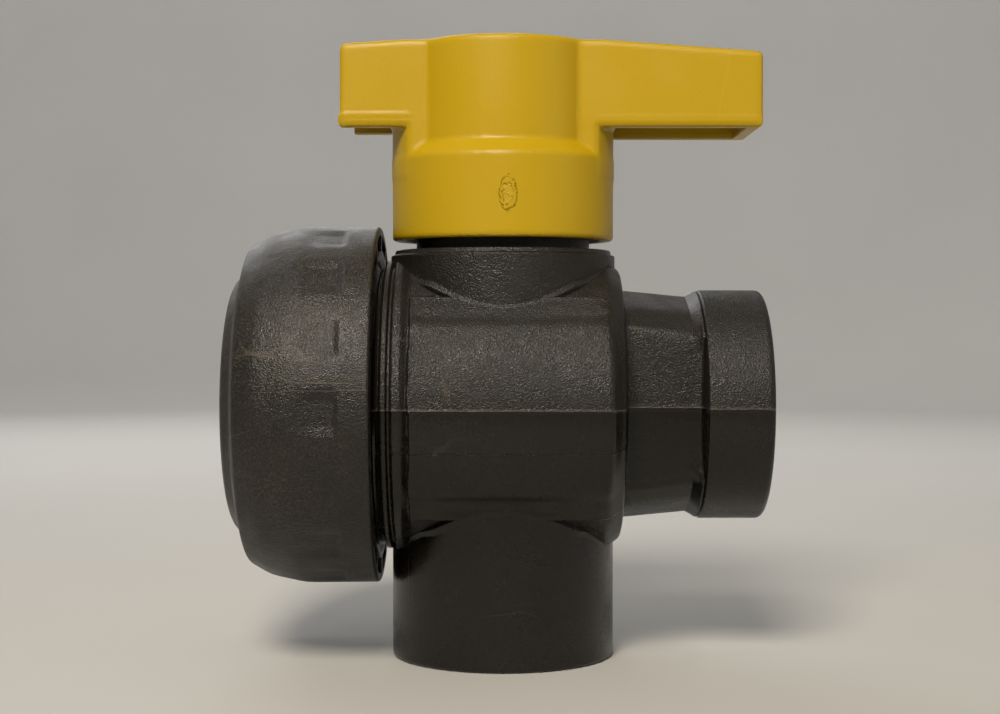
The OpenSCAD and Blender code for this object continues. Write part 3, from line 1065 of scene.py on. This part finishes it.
    def foot(self, radius: float, fillet: Array, below: Array, angle: Array, bead: float) -> Array:
        """The fillet where a pipe round the stem's axis leaves the barrel.

        A ball of the fillet's radius rolls in the corner. Its centre is a fillet's radius
        outside both round walls, so its height is the root of (barrel + fillet) squared less
        its depth squared. The surface lies between the ball's arc and the arc's chord, from the
        pipe's wall to nearly the barrel's, then goes straight down into the barrel.

        Args:
            radius: The pipe's radius.
            fillet: The ball's radius at each angle.
            below: Radius of the barrel at each angle.
            angle: Angles round the stem, in degrees.
            bead: Height of the thin bead along the arc's start.

        Returns:
            Points (x, y, height over the run's axis) of the rings, from the pipe's wall inwards.
        """
        turn = np.radians(angle)
        out = np.stack([np.sin(turn), -np.cos(turn), np.zeros_like(turn)], axis=-1)
        centre = (radius + fillet)[:, None] * out
        reach = below + fillet
        centre[..., 2] = np.sqrt(np.maximum(reach**2 - centre[..., 1] ** 2, 1.0))
        down = -centre * [0.0, 1.0, 1.0] / np.hypot(centre[..., 1], centre[..., 2])[..., None]
        steps = np.array([0.0, 0.04, 0.08, 0.13, 0.2, 0.32, 0.45, 0.58, 0.7, 0.82, 0.93])
        whole = np.arccos(np.clip((-out * down).sum(axis=-1), -1.0, 1.0))
        part = steps[:, None, None] * whole[..., None]
        full = np.sin(whole)[..., None]
        aim = (np.sin(whole[..., None] - part) * -out + np.sin(part) * down) / full
        lift = bead * np.exp(-(((steps - 0.06) / 0.04) ** 2))
        arc = centre + (fillet[:, None] - lift[:, None, None]) * aim
        chord = arc[0] + (centre + fillet[:, None] * down - arc[0]) * steps[:, None, None]
        arc = arc + 0.8 * (chord - arc) * (steps > 0.1)[:, None, None]
        dive = arc[-1] - [0.0, 0.0, 2.2] - 0.6 * out
        deep = arc[-1] * [0.6, 0.6, 0.0] + [0.0, 0.0, 12.0]
        return np.concatenate([arc, dive[None], deep[None]])

    def upright(
        self, radius: float, top: Array, sign: float, fillets: tuple[float, float, float],
        bead: float,
    ) -> Surface:
        """A pipe round the stem's axis with its foot on the barrel.

        Args:
            radius: The pipe's radius.
            top: Its line from the middle of its end down to its wall: radius, height.
            sign: 1 for up, -1 for down.
            fillets: Radius of its foot's fillet at the front, at the left and at the right.
            bead: Height of the bead over the fillet.

        Returns:
            The closed surface.
        """
        angle = full_turn(288)
        off = np.abs((angle + 90.0) % 180.0 - 90.0)
        below = self.barrel_r + (self.band_r - self.barrel_r) * ramp(off, 46.0, 34.0)
        below = below - 2.6 * ramp(off, 66.0, 80.0)
        turn = np.radians(angle)
        side = np.where(np.sin(turn) < 0.0, fillets[1], fillets[2])
        fillet = side + (fillets[0] - side) * ramp(np.abs(np.sin(turn)), 0.93, 0.6)
        foot = self.foot(radius, fillet, below, angle, bead)
        ends = np.stack(
            [
                top[:, :1] * np.sin(turn), -top[:, :1] * np.cos(turn),
                top[:, 1:] + np.zeros_like(turn),
            ],
            axis=-1,
        )
        rise = np.linspace(1.0, 0.0, 12)[1:-1, None, None]
        wall = foot[0] + (ends[-1] - foot[0]) * rise
        rings = np.concatenate([ends, wall, foot])
        rings = rings * [1.0, 1.0, sign] + [0.0, 0.0, AXIS_Z]
        return skin(rings * MM)

    def tower(self) -> Surface:
        """The tower that carries the stem.

        Returns:
            The closed surface.
        """
        r, top = self.tower_r, self.tower_top
        line = rounded(
            [(0.0, top, 0.0), (r - 0.9, top, 0.35), (r - 0.75, top - 0.9, 0.3),
             (r, top - 1.1, 0.3), (r, top - 1.5, 0.0)],
            18.0,
        )
        return self.upright(r, line, 1.0, (1.5, 0.2, 0.2), 0.15)

    def bottom_pipe(self) -> Surface:
        """The bottom port's pipe.

        Returns:
            The closed surface.
        """
        r = self.pipe_r
        line = rounded([(0.0, 51.0, 0.0), (r, 51.0, 0.9), (r, 44.0, 0.0)], 12.0)
        return self.upright(r, line, -1.0, (1.5, 0.2, 0.2), 0.04)

    def collar(self) -> Surface:
        """The collar under the handle, which holds the stem's rings.

        Returns:
            The closed surface.
        """
        r, top = self.collar_r, self.collar_top
        line = [(30.0, 0.0, 0.0), (30.0, r, 0.0), (top, r, 0.5), (top, 0.0, 0.0)]
        return lathe(divided(rounded(line), 2.0), 128)

    def stop(self) -> Surface:
        """The arc that stops the handle: a rounded rectangle carried round part of a turn.

        Returns:
            The closed surface.
        """
        r, low, high = self.collar_r, self.collar_top - 1.0, self.stop_top
        section = rounded(
            [(low, 15.5, 0.0), (low, 13.5, 0.0), (high, 13.5, 0.4), (high, r, 0.4), (low, r, 0.0),
             (low, 15.5, 0.0)],
        )[:-1]
        angle = np.linspace(-self.stop_half, self.stop_half, 60)
        return skin(place(Axis.STEM, section[None, :, 0], section[None, :, 1], angle[:, None]))

    def run_hollow(self) -> Surface:
        """What is cut out along the run: carrier bore, cavity, seat, passage and pipe thread.

        Returns:
            The closed surface of the hollow.
        """
        globe = np.radians(np.linspace(90.0, 41.0, 18))
        ball = [(22.0 * math.cos(a), 22.0 * math.sin(a), 0.0) for a in globe]
        corners = [
            (-38.0, 0.0, 0.0), (-38.0, 24.9, 0.0), (-36.0, 24.9, 0.2), (-35.6, 24.6, 0.2),
            (-22.5, 24.6, 0.0), (-22.5, 22.0, 0.0), *ball, (14.44, 16.6, 0.0), (21.65, 16.6, 0.0),
            (21.65, 11.0, 0.0), (35.4, 11.0, 0.8), (35.4, 15.15, 0.0), (51.2, 15.15, 0.2),
            (52.45, 17.2, 0.0), (54.0, 17.2, 0.0), (54.0, 0.0, 0.0),
        ]
        line = divided(rounded(corners), 1.6, ((35.4, 52.5, 0.33),))
        along, level, angle, plain = crossed(line, full_turn(144))
        r = threaded(PIPE, along, angle, plain, (35.6, 52.4, 1.2))
        r = np.where((level > 15.0) & (along < 52.45), np.maximum(r, plain), plain)
        return skin(place(Axis.RUN, along, r, angle))

    def bottom_hollow(self) -> Surface:
        """What is cut out of the bottom pipe: seat, passage and pipe thread.

        Returns:
            The closed surface of the hollow.
        """
        corners = [
            (-53.0, 0.0, 0.0), (-53.0, 17.2, 0.0), (-51.05, 17.2, 0.0), (-49.8, 15.15, 0.2),
            (-34.0, 15.15, 0.0), (-34.0, 11.0, 0.8), (-21.65, 11.0, 0.0), (-21.65, 16.6, 0.0),
            (-8.0, 16.6, 0.0), (-8.0, 0.0, 0.0),
        ]
        line = divided(rounded(corners), 1.6, ((-51.1, -34.0, 0.33),))
        along, level, angle, plain = crossed(line, full_turn(144))
        r = threaded(PIPE, along, angle, plain, (-51.0, -34.2, 1.2))
        r = np.where((level > 15.0) & (along < -30.0), np.maximum(r, plain), plain)
        return skin(place(Axis.STEM, along, r, angle))

    def stem_hollow(self) -> Surface:
        """What is cut out for the stem.

        Returns:
            The closed surface of the hollow.
        """
        line = rounded(
            [(2.0, 0.0, 0.0), (2.0, 10.3, 0.0), (24.65, 10.3, 0.0), (24.65, 7.6, 0.0),
             (35.7, 7.6, 0.2), (36.05, 7.95, 0.0), (42.0, 7.95, 0.0), (42.0, 0.0, 0.0)],
        )
        return lathe(line, 96)

    def build(self, palette: Palette) -> bpy.types.Object:
        """Makes the body.

        Args:
            palette: The finishes.

        Returns:
            The piece.
        """
        piece = add_object("moulded_body", self.outside().mesh("moulded_body"))
        for part in (self.tower(), self.bottom_pipe(), self.collar(), self.stop()):
            combine(piece, part, Join.ADD)
        for part in (self.run_hollow(), self.bottom_hollow(), self.stem_hollow()):
            combine(piece, part, Join.CUT)
        return finish_piece(piece, "body", "valve_body", palette.black, 32.0)


@dataclass
class UnionEnd:
    """The union nut, and the connector that it pulls against the body."""

    grips: int = 16
    nut_r: float = 36.2
    open_face: float = -24.8
    scallop_depth: float = 0.6
    scallop_half: float = 8.2
    pocket_r: tuple[float, float] = (31.3, 34.5)
    pocket_end: float = -37.0
    rib: float = 1.6

    def nut_line(self) -> Array:
        """The nut's closed section: outside from the open face to the lip, then the bore back.

        Returns:
            Its points, along and radius, without the first one again.
        """
        r = self.nut_r
        corners = [
            (self.open_face, 33.0, 0.0), (self.open_face, r - 0.1, 0.55), (-39.6, r, 14.0),
            (-46.6, r - 1.5, 9.0), (-50.7, r - 3.9, 1.6), (-52.1, 27.0, 1.2), (-53.6, 25.3, 0.8),
            (-54.1, 24.3, 0.4), (-54.1, 23.7, 0.15), (-53.6, 23.6, 0.2), (-40.15, 23.6, 0.2),
            (-40.1, 27.8, 0.1), (-37.0, 27.8, 0.1), (-36.9, 29.65, 0.1),
            (self.open_face - 0.9, 29.65, 0.2), (self.open_face, 30.4, 0.2),
            (self.open_face, 33.0, 0.0),
        ]
        fine = ((-36.9, -25.0, 0.5), (-31.5, -30.5, 0.25), (-52.5, -39.7, 0.7))
        return divided(rounded(corners, 12.0), 1.1, fine)[:-1]

    def grip(self, angle: Array) -> Array:
        """Depth of the grips, 0 to 1: a flattened hollow round every sixteenth of a turn.

        Args:
            angle: Angle round the run, in degrees.

        Returns:
            The depth at each angle.
        """
        pitch = 360.0 / self.grips
        off = np.abs((angle + pitch / 2.0) % pitch - pitch / 2.0)
        return ramp(off, self.scallop_half, 2.6)

    def nut_shell(self) -> Surface:
        """The nut before its pockets are cut.

        Returns:
            The closed surface.
        """
        line = self.nut_line()
        fine = np.arange(self.grips) * 360.0 / self.grips
        angle = full_turn(192, fine, (2.2, 4.0, 5.5, 7.0, 8.6))
        along, level, angle, r = crossed(line, angle)
        deep = ramp(along, -41.5, -33.0) * ramp(along, -30.4, -31.5) * (level > 34.0)
        r = r - self.scallop_depth * deep * self.grip(angle)
        inside = (level < 30.0) & (along > -37.5)
        form = ThreadForm(29.65, 28.35, UNION.pitch)
        cut = threaded(form, along, angle, r, (-37.2, self.open_face - 0.4, 0.8))
        r = np.where(inside & (level > 28.5), np.minimum(r, cut), r)
        return skin(place(Axis.RUN, along, r, angle), loop=True)

    def pocket(self, turned: float) -> Surface:
        """One cored pocket: a rounded rectangle carried round between two ribs.

        Args:
            turned: Angle of its middle, in degrees.

        Returns:
            The closed surface of the hollow.
        """
        low, high = self.pocket_r
        half = 180.0 / self.grips - math.degrees(self.rib / 2.0 / 32.9)
        section = rounded(
            [(-24.0, 32.9, 0.0), (-24.0, high, 0.0), (self.pocket_end, high, 0.6),
             (self.pocket_end, low, 0.6), (-24.0, low, 0.0), (-24.0, 32.9, 0.0)],
        )[:-1]
        angle = turned + np.linspace(-half, half, 8)
        return skin(place(Axis.RUN, section[None, :, 0], section[None, :, 1], angle[:, None]))

    def connector(self) -> Surface:
        """The connector: a flange and a tube round a threaded bore.

        Returns:
            The closed surface.
        """
        corners = [
            (-36.1, 24.0, 0.0), (-36.1, 22.1, 0.1), (-38.1, 22.1, 0.1), (-38.1, 19.9, 0.1),
            (-36.1, 19.9, 0.1), (-36.1, 11.0, 0.6), (-38.8, 11.0, 0.4), (-38.8, 15.15, 0.3),
            (-52.6, 15.15, 0.2), (-53.8, 17.2, 0.3), (-53.8, 23.3, 0.5), (-40.0, 23.3, 0.5),
            (-40.0, 27.4, 0.5), (-36.1, 27.4, 0.4), (-36.1, 24.0, 0.0),
        ]
        line = divided(rounded(corners), 0.33)[:-1]
        along, level, angle, r = crossed(line, full_turn(144))
        cut = threaded(PIPE, along, angle, r, (-53.7, -39.0, 1.2))
        bore = (level < 17.3) & (level > 14.0) & (along < -38.9)
        r = np.where(bore, np.maximum(r, cut), r)
        return skin(place(Axis.RUN, along, r, angle), loop=True)

    def build(self, palette: Palette) -> list[bpy.types.Object]:
        """Makes the nut and the connector.

        Args:
            palette: The finishes.

        Returns:
            The two pieces.
        """
        nut = add_object("grip_nut", self.nut_shell().mesh("grip_nut"))
        pockets = together([self.pocket((i + 0.5) * 360.0 / self.grips) for i in range(self.grips)])
        combine(nut, pockets, Join.CUT)
        finish_piece(nut, "nut", "union_nut", palette.nut, 34.0)
        tail = add_object("tailpiece", self.connector().mesh("tailpiece"))
        finish_piece(tail, "connector", "end_connector", palette.smooth, 34.0)
        return [nut, tail]


def joined(first: Array, second: Array, radius: float) -> Array:
    """The union of two fields, with a fillet of this radius in the corner."""
    inner = np.hypot(np.maximum(radius - first, 0.0), np.maximum(radius - second, 0.0))
    return np.maximum(radius, np.minimum(first, second)) - inner


def common(first: Array, second: Array, radius: float) -> Array:
    """What two fields share, with its edge rounded to this radius."""
    outer = np.hypot(np.maximum(radius + first, 0.0), np.maximum(radius + second, 0.0))
    return np.minimum(-radius, np.maximum(first, second)) + outer


def slab(value: Array, low: float, high: float) -> Array:
    """The field of what lies between two levels: how far the value is past the nearer one."""
    return np.maximum(low - value, value - high)


@dataclass
class Handle:
    """The lever: a skirt and a boss on the stem, and two hollow arms."""

    skirt_r: float = 22.5
    boss_r: float = 19.5
    arm_half: float = 12.7
    long_arm: float = 51.3
    short_arm: float = 32.2
    low: float = 33.2
    ledge: tuple[float, float] = (49.5, 52.4)
    arm_low: float = 55.2
    lip: float = 58.0
    top: float = 72.6
    wall: float = 3.0
    cell: float = 0.58

    def outside(self, x: Array, y: Array, z: Array) -> Array:
        """The field of the outside: skirt with a sloped ledge, flats, boss and arms.

        Args:
            x: Distance along the run from the stem's axis, in mm.
            y: Distance to the back.
            z: Height over the run's axis.

        Returns:
            The field, negative inside.
        """
        out = np.hypot(x, y)
        slope = (out - self.skirt_r) * 0.695 + (z - self.ledge[0]) * 0.719
        skirt = common(out - self.skirt_r - 0.004 * (z - 49.5), self.low - z, 0.7)
        skirt = common(skirt, slope, 0.3)
        skirt = common(skirt, z - 57.0, 0.2)
        boss = common(out - self.boss_r + 0.008 * (z - 60.0), z - self.top, 1.1)
        boss = common(boss, 45.0 - z, 0.2)
        flats = common(np.abs(y) - self.arm_half, out - self.skirt_r, 0.8)
        flats = common(flats, slab(z, 45.0, self.arm_low + self.wall), 0.8)
        fall = np.where(x > 0.0, 0.0733, 0.0642) * np.maximum(np.abs(x) - self.boss_r, 0.0)
        arm = common((z - self.top + 0.1 + fall) * 0.998, self.arm_low - z, 0.9)
        end = np.where(x > 0.0, x - self.long_arm, -x - self.short_arm)
        arm = common(arm, end, 1.2)
        arm = common(arm, np.abs(y) - self.arm_half - 0.012 * (self.arm_low - z), 1.1)
        lean = (np.abs(y) - self.arm_half - 0.2 - 0.2 * (z - self.lip)) * 0.98
        top = self.lip - 0.6 * (x > 0.0)
        band = common(slab(z, self.arm_low, top), slab(x, -self.short_arm - 0.35, self.long_arm), 1.0)
        band = common(common(band, lean, 0.3), 18.2 - np.abs(x), 0.1)
        whole = joined(skirt, boss, 0.2)
        whole = joined(whole, np.minimum(flats, arm), 0.45)
        return np.maximum(np.minimum(whole, band), z - self.top)

    def hollow(self, x: Array, y: Array, z: Array) -> Array:
        """The field of the space under the skirt, in the boss and in the arms.

        Args:
            x: Distance along the run from the stem's axis, in mm.
            y: Distance to the back.
            z: Height over the run's axis.

        Returns:
            The field, negative inside the space.
        """
        out = np.hypot(x, y)
        skirt = common(out - self.skirt_r + 3.0, slab(z, 20.0, 46.5), 0.4)
        boss = common(out - self.boss_r + 3.2, slab(z, 20.0, self.top - 3.4), 1.0)
        across = np.abs(y) - self.arm_half + self.wall
        far = slab(x, self.skirt_r, self.long_arm - self.wall)
        near = slab(x, -self.short_arm + self.wall, -self.skirt_r)
        arms = common(np.minimum(far, near), across, 0.8)
        arms = common(arms, slab(z, 54.0, 67.0), 0.8)
        notch = slab(x, -self.short_arm - 3.0, -self.skirt_r - 0.2)
        notch = common(notch, np.maximum(self.wall - self.arm_half - y, z - self.lip - 0.3), 0.2)
        tab = common(slab(x, -31.2, -23.3), slab(y, 9.7, 15.0), 0.2)
        notch = np.maximum(notch, -common(tab, 56.3 - z, 0.2))
        return np.minimum(np.minimum(np.minimum(skirt, boss), arms), notch)

    def core(self, x: Array, y: Array, z: Array) -> Array:
        """The field of the hub, its four ribs and the lug that meets the stop.

        Args:
            x: Distance along the run from the stem's axis, in mm.
            y: Distance to the back.
            z: Height over the run's axis.

        Returns:
            The field, negative inside.
        """
        out = np.hypot(x, y)
        hub = common(out - 10.2, slab(z, 36.6, 70.5), 0.3)
        ribs = np.minimum(np.abs(x - y), np.abs(x + y)) * 0.7071 - 1.1
        ribs = common(common(ribs, out - 17.3, 0.1), slab(z, self.ledge[1], 70.5), 0.2)
        edge = np.abs(y) * math.cos(math.radians(20.0)) - x * math.sin(math.radians(20.0))
        lug = common(np.maximum(edge, -x), slab(out, 13.0, 20.5), 0.3)
        lug = common(lug, slab(z, 36.6, 47.0), 0.3)
        return np.minimum(joined(hub, ribs, 0.8), lug)

    def field(self, x: Array, y: Array, z: Array) -> Array:
        """The whole lever's field: outside less hollow, with the core, less the bores.

        Args:
            x: Distance along the run from the stem's axis, in mm.
            y: Distance to the back.
            z: Height over the run's axis.

        Returns:
            The field, negative inside.
        """
        out = np.hypot(x, y)
        shell = common(self.outside(x, y, z), -self.hollow(x, y, z), 0.35)
        whole = joined(shell, self.core(x, y, z), 0.3)
        square = np.maximum(np.maximum(np.abs(x), np.abs(y)) - 5.6, out - 7.6)
        square = np.maximum(square, z - 66.5)
        pocket = np.maximum(out - 7.6, 66.0 - z)
        return common(whole, -np.minimum(square, pocket), 0.35)

    def build(self, palette: Palette) -> bpy.types.Object:
        """Makes the lever.

        Args:
            palette: The finishes.

        Returns:
            The piece.
        """
        low = np.array([-self.short_arm - 1.13, -23.71, self.low - 1.07])
        high = np.array([self.long_arm + 1.2, 23.8, self.top + 1.2])
        surface = netted(self.field, low, high, self.cell)
        piece = add_object("lever", surface.mesh("lever"))
        return finish_piece(piece, "rotor", "handle", palette.yellow, 50.0)


class InnerParts:
    """The parts that keep their CAD shape: seats, rings, ball, stem, carrier and fasteners."""

    def dress(self, palette: Palette) -> None:
        """Gives each of them its finish.

        Args:
            palette: The finishes.
        """
        by_slot = {
            "ball_plastic": palette.smooth, "seat_plastic": palette.seat,
            "seal_rubber": palette.rubber, "stem_steel": palette.steel,
            "fastener_steel": palette.steel,
        }
        slots = {n["node"]: n["material_slot"] for n in frame["record"]["subparts"]}
        for name, node in frame["nodes"].items():
            if name in ("valve_body", "union_nut", "end_connector", "handle"):
                continue
            node.data.materials.clear()
            node.data.materials.append(by_slot[slots[name]])
            LOG.info("%s: dressed", name)


@dataclass
class Studio:
    """The pale bowl that the valve stands in, its lights and the camera."""

    aim: tuple[float, float, float] = (-0.6, 0.0, 60.6)
    distance: float = 348.0
    pitch: float = 1.1
    lens: float = 61.2
    floor_r: float = 1.0
    sweep: float = 0.35
    wall: float = 0.9

    def bowl(self) -> None:
        """A level floor, a quarter-circle sweep and an upright wall, turned about the stem."""
        turn = np.radians(np.linspace(0.0, 90.0, 24))
        out = np.concatenate(
            [np.linspace(0.0, self.floor_r, 9)[1:], self.floor_r + self.sweep * np.sin(turn)[1:],
             [self.floor_r + self.sweep]]
        )
        up = np.concatenate(
            [np.zeros(8), self.sweep * (1.0 - np.cos(turn))[1:], [self.sweep + self.wall]]
        )
        angle = np.radians(np.arange(96) * 3.75)
        spots = np.stack(
            [np.outer(out, np.cos(angle)), np.outer(out, np.sin(angle)),
             up[:, None] + 0.0 * angle], axis=-1
        )
        rows, cols = spots.shape[:2]
        index = np.arange(rows * cols).reshape(rows, cols)
        here, there = index[:-1], index[1:]
        quads = np.stack(
            [here, there, np.roll(there, -1, axis=1), np.roll(here, -1, axis=1)], axis=-1
        ).reshape(-1, 4)
        ring = index[0]
        middle = np.full(cols, rows * cols)
        floor = np.stack([ring, np.roll(ring, -1), middle], axis=-1)
        points = np.concatenate([spots.reshape(-1, 3), [[0.0, 0.0, 0.0]]])
        mesh = Surface(points, quads, floor).mesh("studio")
        mesh.polygons.foreach_set("use_smooth", np.ones(len(mesh.polygons), dtype=bool))
        made = bpy.data.materials.new("pale backdrop")
        made.use_nodes = True
        wire = Wiring(made.node_tree)
        shader = made.node_tree.nodes["Principled BSDF"]
        tone = wire.noise(wire.node("TexCoord").outputs["Object"], 6.0, 4.0)
        pale = (linear(184, 182, 178), linear(192, 190, 186))
        wire.feed(shader.inputs["Base Color"], wire.mix(tone, *pale))
        shader.inputs["Roughness"].default_value = 0.8
        mesh.materials.append(made)
        add_object("studio", mesh)

    def light(
        self, name: str, toward: tuple[float, float, float], away: float, size: float,
        watts: float, tint: tuple[float, float, float] = (1.0, 1.0, 1.0),
        target: tuple[float, float, float] = (0.0, 0.0, 0.06), spread: float = 180.0,
    ) -> None:
        """A square soft light.

        Args:
            name: Its name.
            toward: Direction from its target to the light.
            away: Distance from its target, in metres.
            size: Side of the square, in metres.
            watts: Its power.
            tint: Its colour.
            target: The point that it faces, in metres.
            spread: The angle that its beam opens to, in degrees.
        """
        data = bpy.data.lights.new(name, "AREA")
        data.shape, data.size, data.energy, data.color = "SQUARE", size, watts, tint
        data.spread = math.radians(spread)
        lamp = bpy.data.objects.new(name, data)
        bpy.context.scene.collection.objects.link(lamp)
        aim = np.array(toward) / np.linalg.norm(toward)
        lamp.location = aim * away + target
        lamp.visible_camera = False
        x, y, z = aim
        lamp.rotation_euler = (math.acos(z), 0.0, math.atan2(y, x) + math.pi / 2.0)

    def camera(self) -> None:
        """The camera, level but for a slight look down."""
        data = bpy.data.cameras.new("camera")
        data.lens, data.sensor_width, data.clip_start = self.lens, 36.0, 0.01
        camera = bpy.data.objects.new("camera", data)
        bpy.context.scene.collection.objects.link(camera)
        tilt = math.radians(self.pitch)
        back, rise = self.distance * math.cos(tilt), self.distance * math.sin(tilt)
        spot = np.array(self.aim) + [0.0, -back, rise]
        camera.location = spot * MM
        camera.rotation_euler = (math.pi / 2.0 - tilt, 0.0, 0.0)
        bpy.context.scene.camera = camera

    def build(self) -> None:
        """Sets up the floor, the lights, the surroundings and the camera."""
        self.bowl()
        self.camera()
        self.light("key", (-0.16, -0.72, 0.68), 0.85, 0.27, 1.2, (1.0, 0.92, 0.79), spread=70.0)
        self.light("fill", (0.9, -0.5, 0.35), 1.0, 0.6, 0.8, (1.0, 0.93, 0.82))
        self.light("back", (-0.3, 0.8, 0.6), 0.9, 0.6, 2.0)
        for name, x, y, watts in (
            ("wall_back", 0, 1, 6.0), ("wall_front", 0, -1, 1.8),
            ("wall_left", -1, 0, 2.8), ("wall_right", 1, 0, 2.8),
        ):
            spot = (1.3 * x, 1.3 * y, 0.4)
            self.light(name, (-0.85 * x, -0.85 * y, 0.5), 1.0, 0.6, watts, target=spot)
        scene = bpy.context.scene
        world = bpy.data.worlds.new("surroundings")
        scene.world = world
        world.use_nodes = True
        sky = world.node_tree.nodes["Background"]
        sky.inputs["Color"].default_value = linear(232, 229, 224)
        sky.inputs["Strength"].default_value = 0.1
        scene.view_settings.view_transform = "Standard"


def main() -> None:
    """Builds every part of the valve and its studio, in order."""
    logging.basicConfig(level=logging.INFO, format="%(name)s: %(message)s")
    Studio().build()
    palette = Palette(Effects())
    BodyShell().build(palette)
    UnionEnd().build(palette)
    Handle().build(palette)
    InnerParts().dress(palette)


if __name__ == "__main__":
    main()
